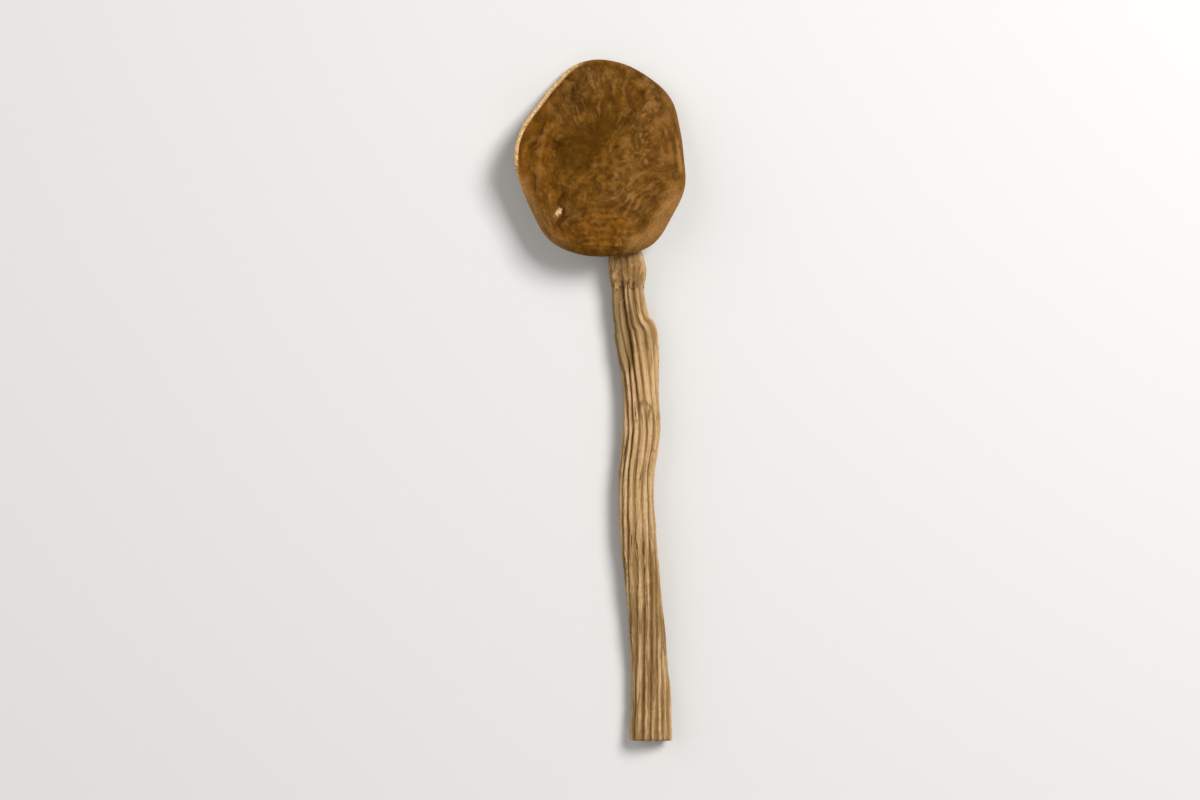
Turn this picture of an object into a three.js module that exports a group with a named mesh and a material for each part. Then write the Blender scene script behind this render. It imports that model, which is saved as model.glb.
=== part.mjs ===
// Dried tea tree mushroom: a shrunken leathery cap with gills, a long ribbed stem and the remnant of
// its ring. Millimetres, +Z up. It lies with the cap's top up, on the far margin of the cap and on the
// foot of the stem. Everything is worked out round the middle of the cap, with the stem running towards
// -Y, and the finished group is then moved so that its origin is the middle of the ground under it.
import * as THREE from "three";

// Cap, seen from above
const CAP_RADII = [ // every 20 degrees from +X, leftwards
  16.8, 17.1, 18.7, 19.4, 20.0, 19.9, 17.3, 15.9, 16.2,
  16.6, 16.8, 17.7, 19.7, 20.1, 20.2, 20.5, 18.7, 18.0,
];
const CAP_TOP = 11.3; // height of the cap's middle, before its hollow
const CAP_TILT = 0.12; // rise towards the stem side, per millimetre
const CAP_FALL = [ // from the middle to the margin, every 30 degrees
  5.2, 6.4, 7.4, 7.8, 12.6, 8.4, 4.8, 3.6, 2.8, 2.4, 2.8, 3.9,
];
const FALL_POWER = 2.2; // how late the fall begins
const MARGIN_CURL = [ // degrees, every 30 degrees, down is positive
  40, 50, 55, 15, -50, -55, -50, 15, 75, 105, 85, 50,
];
const MARGIN_LIFT = [ // of the upturned part, every 30 degrees
  0, 0, 0, 1.2, 4.2, 3, 2, 0.2, 0, 0, 0, 0,
];
const ROLL_START = 0.8; // share of the radius where the margin starts to curl
const FLESH_MIDDLE = 2.0;
const FLESH_MARGIN = 0.75;

// Relief of the cap's top
const HOLLOW = { x: -1.0, y: 2.8, turn: 48, length: 6.8, width: 4.4, depth: 2.0 };
const PIT = { x: -3.6, y: 0.8, radius: 2.3, depth: 0.8 };
const FOLD = { x: 1.0, lean: 0.58, bend: 4, height: 1.1, flank: 1.2, reach: 8, lowY: -8, highY: 15.5 };
const LIP = { x: 0.5, y: -15.3, length: 7.2, width: 4.2, height: 1.0, crease: 0.7 };
const CLEFT = { x: -7.8, lowY: -15, highY: -7.5, width: 0.9, depth: 0.55 };
const SHOULDER = { at: 0.76, width: 0.06, height: 0.45, from: 150, to: 235 };
const WRINKLES = 30;
const WRINKLE_HEIGHT = 0.4;
const WRINKLE_SEED = 7; // another number strews them in another way

// Gills
const GILLS = 52; // every second one is short, every fourth reaches the stem
const GILL_DEPTH = 2.0;
const GILL_THICKNESS = 0.64;
const GILL_FOOT = 0.92;
const GILL_STARTS = [0.24, 0.6, 0.37, 0.6]; // share of the radius, for each of four gills in turn

// Stem: x, y and z of its middle, half its width and half its thickness, from the cap down
const STEM_ROWS = [
  [-0.4, 1.3, 6.5, 2.6, 2.1],
  [-0.2, 0.5, 5.1, 2.7, 2.1],
  [0.7, -3.0, 3.8, 2.9, 2.1],
  [1.9, -7.2, 3.6, 3.1, 2.2],
  [3.3, -12.0, 3.7, 3.1, 2.3],
  [5.2, -20.5, 3.9, 3.0, 2.2],
  [5.6, -26.0, 3.7, 3.05, 2.3],
  [5.9, -30.0, 3.3, 3.3, 2.5],
  [6.35, -33.0, 3.05, 3.55, 2.55],
  [7.2, -36.0, 2.8, 4.2, 2.6],
  [8.0, -46.0, 3.0, 3.4, 2.5],
  [8.2, -55.0, 3.2, 3.5, 2.6],
  [7.1, -65.0, 3.2, 3.3, 2.5],
  [7.7, -77.0, 3.2, 3.5, 2.6],
  [9.3, -93.0, 2.75, 3.4, 2.5],
  [10.1, -106.0, 2.15, 3.6, 2.6],
  [10.1, -117.5, 2.7, 4.0, 2.8],
];
const RIBS = 14;
const RIB_HEIGHT = 0.36;
const RIB_MIDDLE = 1.3; // of their profile, so that they stand out as far as the furrows go in
const RIB_ROUNDING = 0.03; // of the furrows, which are narrower than the ribs between them
const RIB_UNEVEN = 0.35; // share by which one rib is higher or lower than the next
const RIB_SWAY = 0.07; // radians by which they crowd together here and spread there
const RIB_SPREAD = 0.05; // radians by which the ribs on the narrow sides give way to those on top
const WAVE_HEIGHT = 0.1; // of the slow swell round the stem, under the ribs
const GROOVE = [ // y, and degrees round the stem
  [-20, 126],
  [-27, 118],
  [-31, 108],
  [-38, 112],
  [-43, 126],
];
const GROOVE_DEPTH = 0.75;
const GROOVE_WIDTH = 14; // degrees
const KNOT = { y: -50.8, turn: 80, reach: 3, radius: 1.8, height: 0.4 };
const CUT_ROUNDING = 0.5; // of the foot's cut edge
const GROUND = 0;

// Ring remnant
const RING_TOP = 4.7; // row of the stem where it starts, under the cap's margin
const RING_LENGTH = 1.3; // in rows of the stem
const RING_THICKNESS = 0.6;
const RING_CLEARANCE = 0.38; // to the ribs
const RING_FOLLOW = 0.4; // share of the ribs' relief that it takes on
const RING_FLARE = 0.3;
const RING_RAGS = 0.1; // of its length

const TAU = 2 * Math.PI;
const { degToRad, lerp, smoothstep } = THREE.MathUtils;

// A smooth curve's value between the middle two of four even values.
function between(before, a, b, after, t) {
  const slope = b - before;
  const curve = 2 * before - 5 * a + 4 * b - after;
  const twist = 3 * a - before - 3 * b + after;
  return 0.5 * (2 * a + (slope + (curve + twist * t) * t) * t);
}

// Even values round a circle, read at any angle.
function around(values, angle) {
  const n = values.length;
  const place = ((angle / TAU) * n + n * 4) % n;
  const i = Math.floor(place);
  const value = (step) => values[(i + step + n) % n];
  return between(value(-1), value(0), value(1), value(2), place - i);
}

// Rows of values, read between two of them.
function along(rows, place) {
  const last = rows.length - 1;
  const i = Math.min(Math.floor(place), last - 1);
  const row = (step) => rows[THREE.MathUtils.clamp(i + step, 0, last)];
  return row(0).map((_, k) => between(row(-1)[k], row(0)[k], row(1)[k], row(2)[k], place - i));
}

// A hill of height 1 that is gone about two widths away.
function hill(distance, width) {
  return Math.exp(-((distance / width) ** 2));
}

// 1 between two limits, with soft ends.
function window(value, low, high, soft) {
  return smoothstep(value, low - soft, low + soft) * (1 - smoothstep(value, high - soft, high + soft));
}

// Repeatable draws from 0 to 1.
function seededDraw(seed) {
  let state = seed;
  return () => {
    state = (state * 1664525 + 1013904223) % 4294967296;
    return state / 4294967296;
  };
}

// Short ridges and furrows of the shrunken skin, most of them running outwards.
function makeWrinkles() {
  const draw = seededDraw(WRINKLE_SEED);
  return Array.from({ length: WRINKLES }, () => {
    const angle = draw() * TAU;
    const radius = lerp(6, 15, draw());
    const heading = angle + lerp(-0.7, 0.7, draw());
    return {
      x: radius * Math.cos(angle),
      y: radius * Math.sin(angle),
      alongX: Math.cos(heading),
      alongY: Math.sin(heading),
      length: lerp(2.2, 4.2, draw()),
      width: lerp(0.8, 1.1, draw()),
      height: WRINKLE_HEIGHT * (draw() < 0.6 ? 1 : -1),
    };
  });
}
const wrinkles = makeWrinkles();

function wrinkleRelief(x, y) {
  let height = 0;
  for (const wrinkle of wrinkles) {
    const dx = x - wrinkle.x;
    const dy = y - wrinkle.y;
    const down = dx * wrinkle.alongX + dy * wrinkle.alongY;
    const across = dy * wrinkle.alongX - dx * wrinkle.alongY;
    height += wrinkle.height * hill(down, wrinkle.length) * hill(across, wrinkle.width);
  }
  return height;
}

// The folds that go right through the cap's flesh: its hollow, its raised right side, whose foot runs
// straight on the stem's side of the middle and leans right beyond it, and the lip over the stem.
function fleshRelief(x, y) {
  const turn = degToRad(HOLLOW.turn);
  const down = (x - HOLLOW.x) * Math.cos(turn) + (y - HOLLOW.y) * Math.sin(turn);
  const across = (y - HOLLOW.y) * Math.cos(turn) - (x - HOLLOW.x) * Math.sin(turn);
  const hollow = -HOLLOW.depth * hill(down, HOLLOW.length) * hill(across, HOLLOW.width);
  const side = x - FOLD.x - FOLD.lean * (Math.hypot(y, FOLD.bend) + y) / 2;
  const fold = FOLD.height * smoothstep(side, -FOLD.flank, FOLD.flank) * hill(Math.max(0, side), FOLD.reach)
    * window(y, FOLD.lowY, FOLD.highY, 3);
  const bulge = LIP.height * Math.max(0, 1 - lipShare(x, y) ** 2);
  return hollow + fold + bulge;
}

// The folds of the skin alone: the pit, the crease over the lip, the cleft beside it and the left
// shoulder.
function skinRelief(x, y, share, angle) {
  const pit = -PIT.depth * hill(Math.hypot(x - PIT.x, y - PIT.y), PIT.radius);
  const crease = -LIP.crease * hill(lipShare(x, y) - 1.12, 0.16) * smoothstep(y, LIP.y - 0.5, LIP.y + 2);
  const cleft = -CLEFT.depth * hill(x - CLEFT.x, CLEFT.width) * window(y, CLEFT.lowY, CLEFT.highY, 1);
  const degrees = THREE.MathUtils.radToDeg((angle + TAU) % TAU);
  const shoulder = SHOULDER.height * hill(share - SHOULDER.at, SHOULDER.width)
    * window(degrees, SHOULDER.from, SHOULDER.to, 10);
  return pit + crease + cleft + shoulder + wrinkleRelief(x, y) * (1 - smoothstep(share, 0.85, 1));
}

// 0 in the middle of the lip over the stem and 1 at its edge.
function lipShare(x, y) {
  return Math.hypot((x - LIP.x) / LIP.length, (y - LIP.y) / LIP.width);
}

// A point of the cap's top. The share runs from 0 in the middle to 1 at the edge.
function capTop(share, angle, withSkin) {
  const radius = around(CAP_RADII, angle);
  const curl = degToRad(around(MARGIN_CURL, angle));
  const bend = Math.sign(curl) * Math.max(Math.abs(curl), 0.01);
  const strip = (1 - ROLL_START) * radius;
  const rolled = Math.max(0, (share - ROLL_START) / (1 - ROLL_START));
  const widest = Math.sin(Math.min(Math.abs(bend), Math.PI / 2)) / Math.abs(bend);
  const spread = radius / (ROLL_START * radius + strip * widest);
  const flat = Math.min(share, ROLL_START) * radius;
  const out = (flat + (strip * Math.sin(bend * rolled)) / bend) * spread;
  const drop = (strip * (1 - Math.cos(bend * rolled))) / bend;
  const x = out * Math.cos(angle);
  const y = out * Math.sin(angle);
  const fall = around(CAP_FALL, angle) * Math.abs(share) ** FALL_POWER;
  const skin = withSkin ? skinRelief(x, y, share, angle) : 0;
  const lift = around(MARGIN_LIFT, angle) * rolled ** 2;
  const z = CAP_TOP - CAP_TILT * y - fall - drop + lift + fleshRelief(x, y) + skin;
  return new THREE.Vector3(x, y, z);
}

// A point under the cap's top, so far into the flesh or below it.
function capUnder(share, angle, deeper) {
  const step = 0.01;
  const outwards = capTop(share + step, angle, false).sub(capTop(share - step, angle, false));
  const round = capTop(share, angle + step, false).sub(capTop(share, angle - step, false));
  const up = outwards.cross(round).normalize();
  const flesh = lerp(FLESH_MIDDLE, FLESH_MARGIN, share ** 2);
  const point = capTop(share, angle, false).addScaledVector(up, -flesh - deeper);
  point.z = Math.max(point.z, GROUND);
  return point;
}

// A closed skin made of rings of points. Each ring has as many points as the one before it, or half as
// many, or twice as many.
class Skin {
  constructor() {
    this.places = [];
    this.corners = [];
    this.last = null;
  }

  addPoint(point) {
    this.places.push(point.x, point.y, point.z);
    return this.places.length / 3 - 1;
  }

  addRing(points) {
    const ring = points.map((point) => this.addPoint(point));
    if (this.last) this.bridge(this.last, ring);
    else this.first = ring;
    this.last = ring;
  }

  bridge(a, b) {
    const steps = Math.min(a.length, b.length);
    const at = (ring, i, extra) => ring[((i * ring.length) / steps + extra) % ring.length];
    for (let i = 0; i < steps; i++) {
      const [a0, a1, a2] = [at(a, i, 0), at(a, i, 1), at(a, i + 1, 0)];
      const [b0, b1, b2] = [at(b, i, 0), at(b, i, 1), at(b, i + 1, 0)];
      if (a.length === b.length) {
        this.corners.push(a0, b0, b2, a0, b2, a2);
      } else if (a.length < b.length) {
        this.corners.push(a0, b0, b1, a0, b1, a2, a2, b1, b2);
      } else {
        this.corners.push(a0, b0, a1, a1, b0, b2, a1, b2, a2);
      }
    }
  }

  closeStart(point) {
    const middle = this.addPoint(point);
    this.first.forEach((place, i) => {
      this.corners.push(middle, place, this.first[(i + 1) % this.first.length]);
    });
  }

  closeEnd(point) {
    const middle = this.addPoint(point);
    this.last.forEach((place, i) => {
      this.corners.push(middle, this.last[(i + 1) % this.last.length], place);
    });
  }

  joinEnds() {
    this.bridge(this.last, this.first);
  }

  geometry() {
    const made = new THREE.BufferGeometry();
    made.setAttribute("position", new THREE.Float32BufferAttribute(this.places, 3));
    made.setIndex(this.corners);
    made.computeVertexNormals();
    return made;
  }
}

// One of the four edges of each gill, as a point of the cap's underside: foot, crest, crest, foot.
function gillPoint(column, share) {
  const gill = Math.floor(column / 4);
  const edge = column % 4;
  const pitch = TAU / GILLS;
  const start = GILL_STARTS[gill % 4];
  const radius = share * around(CAP_RADII, gill * pitch);
  const atMargin = smoothstep(share, 0.93, 0.98);
  const standing = smoothstep(share, start, start + 0.07) * (1 - atMargin);
  const wide = edge === 0 || edge === 3;
  const even = wide ? 0.375 : 0.125;
  const closed = wide ? 0.1 : 0.05;
  const full = Math.min((wide ? GILL_FOOT : GILL_THICKNESS) / 2 / radius / pitch, wide ? 0.8 : 0.56);
  const offset = lerp(lerp(closed, full, standing), even, atMargin);
  const wander = (0.12 * Math.sin(9 * share + 2.4 * gill) * (1 - atMargin)) / radius;
  const angle = (gill + (edge < 2 ? -offset : offset)) * pitch + wander;
  const profile = smoothstep(share, 0.16, 0.34) * (1 - smoothstep(share, 0.6, 0.95));
  return capUnder(share, angle, wide ? 0 : GILL_DEPTH * profile * standing);
}

function makeCap() {
  const skin = new Skin();
  const firstAngle = (-0.375 * TAU) / GILLS;
  const topRing = (share, count) =>
    Array.from({ length: count }, (_, i) => capTop(share, firstAngle + (i * TAU) / count, true));
  const middleShares = [0.12, 0.24, 0.35];
  const outerShares = [0.45, 0.55, 0.64, 0.72, 0.79, 0.85, 0.9, 0.95, 1];
  middleShares.forEach((share) => skin.addRing(topRing(share, GILLS)));
  outerShares.forEach((share) => skin.addRing(topRing(share, GILLS * 2)));
  const underShares = [1, 0.95, 0.89, 0.82, 0.74, 0.67, 0.6, 0.51, 0.42, 0.35, 0.28, 0.22];
  underShares.forEach((share) =>
    skin.addRing(Array.from({ length: GILLS * 4 }, (_, column) => gillPoint(column, share))));
  skin.closeStart(capTop(0, 0, true));
  skin.closeEnd(capTop(0, 0, false).add(new THREE.Vector3(0, 0, -FLESH_MIDDLE)));
  return skin.geometry();
}

// How far the stem's skin stands out of its oval section: ribs, the long groove and the knot.
function stemRelief(y, turn) {
  const twist = 0.35 * Math.sin(y / 14) + 0.006 * y;
  const swayed = turn + RIB_SWAY * Math.sin(3 * turn + 0.05 * y + 2.1) + twist;
  const phase = (RIBS / 2) * (swayed - RIB_SPREAD * Math.sin(2 * turn));
  const uneven = 1 + RIB_UNEVEN * Math.sin(3 * turn + 0.09 * y);
  const ribs = RIB_HEIGHT * uneven * (2 * Math.sqrt(Math.cos(phase) ** 2 + RIB_ROUNDING) - RIB_MIDDLE);
  const swell = WAVE_HEIGHT * Math.cos(4 * turn + 0.11 * y);

  const degrees = THREE.MathUtils.radToDeg((turn + TAU) % TAU);
  const [topY] = GROOVE[0];
  const [endY] = GROOVE[GROOVE.length - 1];
  const ends = smoothstep(y, endY - 3, endY + 2) * (1 - smoothstep(y, topY, topY + 4));
  const groove = -GROOVE_DEPTH * hill(degrees - grooveTurn(y), GROOVE_WIDTH) * ends;

  const across = degToRad(degrees - KNOT.turn) * KNOT.reach;
  const knot = KNOT.height * hill(Math.hypot(across, y - KNOT.y), KNOT.radius);
  return ribs + swell + groove + knot;
}

// Where the groove runs, in degrees round the stem.
function grooveTurn(y) {
  const next = GROOVE.findIndex(([rowY]) => rowY < y);
  if (next === 0) return GROOVE[0][1];
  if (next < 0) return GROOVE[GROOVE.length - 1][1];
  const [[y0, turn0], [y1, turn1]] = [GROOVE[next - 1], GROOVE[next]];
  return lerp(turn0, turn1, (y - y0) / (y1 - y0));
}

// A point of the stem's skin at a place counted in rows and a turn round the stem. A lift takes it off
// the skin, and a follow below 1 spans the furrows, as a thin skin that clings to the ribs does.
function stemPoint(place, turn, lift = 0, follow = 1) {
  const [x, y, z, halfWidth, halfThickness] = along(STEM_ROWS, place);
  const step = 0.02;
  const last = STEM_ROWS.length - 1;
  const ahead = new THREE.Vector3(...along(STEM_ROWS, Math.min(place + step, last)));
  const behind = new THREE.Vector3(...along(STEM_ROWS, Math.max(place - step, 0)));
  const down = ahead.sub(behind).normalize();
  const side = new THREE.Vector3(1, 0, 0).addScaledVector(down, -down.x).normalize();
  const up = down.clone().cross(side);
  const outX = Math.cos(turn) / halfWidth;
  const outY = Math.sin(turn) / halfThickness;
  const relief = lerp(RIB_HEIGHT + WAVE_HEIGHT, stemRelief(y, turn), follow);
  const raise = (relief + lift) / Math.hypot(outX, outY);
  const point = new THREE.Vector3(x, y, z);
  point.addScaledVector(side, halfWidth * Math.cos(turn) + raise * outX);
  point.addScaledVector(up, halfThickness * Math.sin(turn) + raise * outY);
  point.z = Math.max(point.z, GROUND);
  return point;
}

function makeStem() {
  const columns = RIBS * 4;
  const lastRow = STEM_ROWS.length - 1;
  const ringsPerRow = 4;
  const skin = new Skin();
  const ringAt = (place, lift) =>
    skin.addRing(Array.from({ length: columns }, (_, i) => stemPoint(place, (-i * TAU) / columns, lift)));
  for (let i = 0; i < lastRow * ringsPerRow; i++) ringAt(i / ringsPerRow);
  ringAt(lastRow - 0.05);
  ringAt(lastRow, -CUT_ROUNDING);
  const [topX, topY, topZ] = STEM_ROWS[0];
  const [footX, footY, footZ] = STEM_ROWS[lastRow];
  skin.closeStart(new THREE.Vector3(topX, topY, topZ));
  skin.closeEnd(new THREE.Vector3(footX, footY, footZ));
  return skin.geometry();
}

// The collar's outer face runs down to its ragged lower edge, and its inner face back up along the stem.
function makeRing() {
  const columns = RIBS * 4;
  const stations = 5;
  const skin = new Skin();
  const ringAt = (step, thickness) => {
    const points = Array.from({ length: columns }, (_, i) => {
      const turn = (-i * TAU) / columns;
      const rags = 1 + RING_RAGS * (Math.sin(5 * turn + 1) + 0.6 * Math.sin(8 * turn));
      const share = step / (stations - 1);
      const place = RING_TOP + RING_LENGTH * share * rags;
      const flare = RING_FLARE * share ** 2 * (0.15 + 0.85 * Math.max(0, Math.cos(turn - 0.3)));
      return stemPoint(place, turn, RING_CLEARANCE + flare + thickness, RING_FOLLOW);
    });
    skin.addRing(points);
  };
  for (let step = 0; step < stations; step++) ringAt(step, RING_THICKNESS);
  for (let step = stations - 1; step >= 0; step--) ringAt(step, 0);
  skin.joinEnds();
  return skin.geometry();
}

const capSkin = new THREE.MeshStandardMaterial({ color: "#744c1f", roughness: 0.72, metalness: 0 });
const stemFlesh = new THREE.MeshStandardMaterial({ color: "#b08a5c", roughness: 0.8, metalness: 0 });
const ringSkin = new THREE.MeshStandardMaterial({ color: "#9a754a", roughness: 0.7, metalness: 0 });

const mushroom = new THREE.Group();
const pieces = [
  ["cap", makeCap(), capSkin],
  ["stem", makeStem(), stemFlesh],
  ["ring", makeRing(), ringSkin],
];
for (const [name, geometry, material] of pieces) {
  const piece = new THREE.Mesh(geometry, material);
  piece.name = name;
  mushroom.add(piece);
}

// The origin goes to the middle of the ground under the mushroom.
const box = new THREE.Box3().setFromObject(mushroom);
const middle = box.getCenter(new THREE.Vector3());
mushroom.position.set(-middle.x, -middle.y, -box.min.z);
const group = new THREE.Group();
group.add(mushroom);

export default group;
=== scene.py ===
# Dried tea tree mushroom, lying on a pale floor: a leathery shrunken cap with a curled margin, crinkled
# gills under it, a long fibrous stem with a shrivelled ring, and fibres that come loose from the stem.
import math

import bmesh
import bpy
import numpy as np
from bpy.props import FloatProperty, FloatVectorProperty, IntProperty, PointerProperty
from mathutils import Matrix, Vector, noise


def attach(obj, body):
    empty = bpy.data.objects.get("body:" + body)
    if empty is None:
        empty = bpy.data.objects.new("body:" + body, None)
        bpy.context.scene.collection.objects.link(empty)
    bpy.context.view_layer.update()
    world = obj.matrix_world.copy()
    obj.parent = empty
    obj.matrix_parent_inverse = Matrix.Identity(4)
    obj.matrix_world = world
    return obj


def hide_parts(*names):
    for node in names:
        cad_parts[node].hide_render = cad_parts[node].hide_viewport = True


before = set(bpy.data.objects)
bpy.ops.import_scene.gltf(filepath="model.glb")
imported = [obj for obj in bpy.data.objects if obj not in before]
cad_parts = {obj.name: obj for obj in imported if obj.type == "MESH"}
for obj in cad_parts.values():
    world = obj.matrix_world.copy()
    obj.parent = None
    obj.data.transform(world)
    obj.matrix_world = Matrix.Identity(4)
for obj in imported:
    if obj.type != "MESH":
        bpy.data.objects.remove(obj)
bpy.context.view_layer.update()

bl_info = {
    "name": "Dried tea tree mushroom",
    "version": (1, 0, 0),
    "blender": (4, 5, 0),
    "location": "3D View > Sidebar > Mushroom",
    "description": "Builds the cap, gills, stem, ring and loose fibres of a dried mushroom",
    "category": "Add Mesh",
}

MM = 0.001
TAU = 2 * math.pi

# All forms are worked out in millimetres round the middle of the cap, with the stem towards -Y. This is
# where that middle lies in the frame.
CAP_MIDDLE = np.array((0.085, 48.738, 0.0))

# Cap, seen from above: radii every 20 degrees from +X, and falls, curls and lifts of the margin every 30
CAP_RADII = (
    16.8, 17.1, 18.7, 19.4, 20.0, 19.9, 17.3, 15.9, 16.2,
    16.6, 16.8, 17.7, 19.7, 20.1, 20.2, 20.5, 18.7, 18.0,
)
CAP_TILT = 0.12
CAP_FALL = (5.2, 6.4, 7.4, 7.8, 12.6, 8.4, 4.8, 3.6, 2.8, 2.4, 2.8, 3.9)
FALL_POWER = 2.2
MARGIN_CURL = (40, 50, 55, 15, -50, -55, -50, 15, 75, 105, 85, 50)
MARGIN_LIFT = (0, 0, 0, 1.2, 4.2, 3, 2, 0.2, 0, 0, 0, 0)
ROLL_START = 0.8

# Relief of the cap's top
HOLLOW = {"x": -1.0, "y": 2.8, "turn": math.radians(48), "length": 6.8, "width": 4.4}
PIT = {"x": -3.6, "y": 0.8, "radius": 2.3, "depth": 0.8}
FOLD = {"x": 1.0, "lean": 0.58, "bend": 4, "height": 1.1, "flank": 1.2, "reach": 8, "low": -8, "high": 15.5}
LIP = {"x": 0.5, "y": -15.3, "length": 7.2, "width": 4.2, "height": 1.0, "crease": 0.7, "pitch": 1.5}
LIP_CREASE_AT = 1.12
CLEFT = {"x": -7.8, "low": -15, "high": -7.5, "width": 0.9, "depth": 0.55}
CHIP = {"x": -8.3, "y": -11.3, "radius": 0.62, "height": 0.22}
SHOULDER = {"at": 0.76, "width": 0.06, "height": 0.45, "low": 150, "high": 235}

# Sides of the cap that wrinkle in their own ways, and paler bands of its margin: two directions in degrees
# from +X, and how softly each ends
UPPER_SIDE = (35, 145, 20)
LEFT_SIDE = (150, 250, 20)
RIGHT_SIDE = (-15, 30, 12)
LOWER_SIDE = (275, 340, 18)
LEFT_BAND = (196, 250, 8)
LOWER_BAND = (284, 338, 8)
RIGHT_BAND = (-10, 13, 3)
WORN_EDGE = (102, 186, 5)

# Main wrinkles of the cap. Their lengths, widths and distances from the middle are drawn from these spans.
WRINKLES = 30
WRINKLE_SEED = 7
WRINKLE_HEIGHT = 0.4
WRINKLE_LENGTHS = (2.2, 4.2)
WRINKLE_WIDTHS = (0.8, 1.1)
WRINKLE_RADII = (6, 15)
WRINKLE_LEAN = 0.7
RIDGE_CHANCE = 0.6

# Fine relief of the skin: how deep each kind of crease is, how strongly painted shade darkens it, and
# heights
CREASE_DEPTHS = {"strokes": 0.2, "net": 0.14, "small_net": 0.04}
CREASE_SHADES = {"strokes": 0.85, "net": 0.7, "small_net": 0.25}
PUCKER_HEIGHT = 0.12
LIP_WRINKLE_HEIGHT = 0.24
GRAIN_HEIGHT = 0.02

# Patches where the skin is darker or paler. Most are its own mottles, but the dark one at the upper
# right is painted shade and the pale one at the upper left painted light, set against how those
# slopes face the light. Each: x and y of the middle, half width and half height
DARK_PATCHES_AND_SHADE = ((-6.6, -4.0, 2.0, 5.0), (9.8, -5.8, 3.0, 4.2), (4.2, 9.4, 2.6, 2.6), (7.5, 17.0, 4.0, 2.6))
PALE_PATCHES_AND_LIGHT = (
    (3.0, -7.6, 2.6, 2.2), (-1.5, 16.0, 5.0, 3.4), (-6.5, -12.2, 5.0, 1.7), (-6.0, 12.5, 4.2, 3.8),
    (11.0, 9.5, 3.0, 3.0),
)

# Mesh of the cap: columns at the margin, with half as many inside each of these shares, and rings
CAP_COLUMNS = 512
TOP_HALVINGS = (0.34, 0.16, 0.08)
UNDER_HALVINGS = (0.5, 0.25, 0.1)
TOP_START = 0.012
TOP_RINGS = 96
ROLL_RINGS = 40
RIM_RINGS = 6
UNDER_RINGS = 64
UNDER_SHARES = (0.98, 0.03)

# Gills: every third one stands where the solids have theirs, and the others are short ones between them.
# Heights are shares of the longest gills' depth.
MAIN_GILLS = 52
GILLS_PER_MAIN = 3
MAIN_STARTS = (0.24, 0.6, 0.37, 0.6)
SHORT_STARTS = (0.5, 0.8)
MAIN_HEIGHTS = (0.85, 1.0)
SHORT_HEIGHTS = (0.55, 0.85)
GILL_ENDS = (0.93, 0.965)
GILL_ROOT = 0.1
GILL_RINGS = 40
GILL_LEVELS = 5

# Stem: x, y and z of its middle, half its width and half its thickness. The first row is the end that has
# grown into the flesh of the cap.
STEM_ROWS = np.array((
    (-0.5, 1.6, 7.75, 3.3, 2.7),
    (-0.4, 1.3, 6.5, 2.6, 2.1),
    (-0.2, 0.5, 5.1, 2.7, 2.1),
    (0.7, -3.0, 3.8, 2.9, 2.1),
    (1.9, -7.2, 3.6, 3.1, 2.2),
    (3.3, -12.0, 3.7, 3.1, 2.3),
    (5.2, -20.5, 3.9, 3.0, 2.2),
    (5.6, -26.0, 3.7, 3.05, 2.3),
    (5.9, -30.0, 3.3, 3.3, 2.5),
    (6.35, -33.0, 3.05, 3.55, 2.55),
    (7.2, -36.0, 2.8, 4.2, 2.6),
    (8.0, -46.0, 3.0, 3.4, 2.5),
    (8.2, -55.0, 3.2, 3.5, 2.6),
    (7.1, -65.0, 3.2, 3.3, 2.5),
    (7.7, -77.0, 3.2, 3.5, 2.6),
    (9.3, -93.0, 2.75, 3.4, 2.5),
    (10.1, -106.0, 2.15, 3.6, 2.6),
    (10.1, -117.5, 2.7, 4.0, 2.8),
))
FOOT = len(STEM_ROWS) - 1
RIBS = 14
RIB_MIDDLE = 1.3
RIB_ROUNDING = 0.03
RIB_UNEVEN = 0.35
RIB_SWAY = 0.07
RIB_SPREAD = 0.05
WAVE_HEIGHT = 0.1
GROOVE = ((-20, 126), (-27, 118), (-31, 108), (-38, 112), (-43, 126))
KNOT = {"y": -50.8, "turn": 80, "reach": 3, "radius": 1.8, "height": 0.4, "ring": 1.1, "crease": 0.14}
# How many rows before and behind a place its direction is taken from
BEND_REACH = 0.35

# Mesh of the stem: the first rows are bent the most, so they have more rings, and the others have one
# every so many millimetres. The cut end has rings at these shares of its radius.
STEM_COLUMNS = 176
BENT_ROWS = 4
BENT_RINGS = 110
STEM_STEP = 0.3
CUT_RINGS = (1.0, 0.94, 0.86, 0.76, 0.65, 0.54, 0.43, 0.32, 0.22, 0.12)
CUT_INSET = 0.3
CUT_HOLLOW = 0.4
CUT_MIDDLE = 0.45

# Fibres of the stem's skin: how often each noise changes round the stem and along it, with a shift that
# tells it from the others, and then how high each kind of fibre stands and how strongly painted shade
# darkens it, less where the weight is below 0
FINE_FOLDS = 28
FIBRE_NOISES = {
    "strands": (4.2, 0.09, 0), "fibres": (9, 0.22, 5), "threads": (17, 0.5, 9), "across": (2.2, 1.5, 4),
    "wrinkled": (1, 0.08, 21), "warp": (1.8, 0.07, 36), "fold_height": (2.5, 0.09, 39),
    "breaks": (2, 0.13, 17), "furrow": (6, 0.1, 2), "fine_furrow": (11, 0.2, 25), "slit": (9, 0.16, 13),
}
FIBRE_HEIGHTS = {
    "folds": 0.1, "strands": 0.14, "fibres": 0.1, "threads": 0.05, "furrow": -0.2, "fine_furrow": -0.07,
    "slit": -0.25, "across": 0.08,
}
FIBRE_SHADES = {
    "strands": -0.8, "fibres": -0.6, "threads": -0.3, "furrow": 0.6, "fine_furrow": 0.25, "across": -0.3,
}

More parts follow.
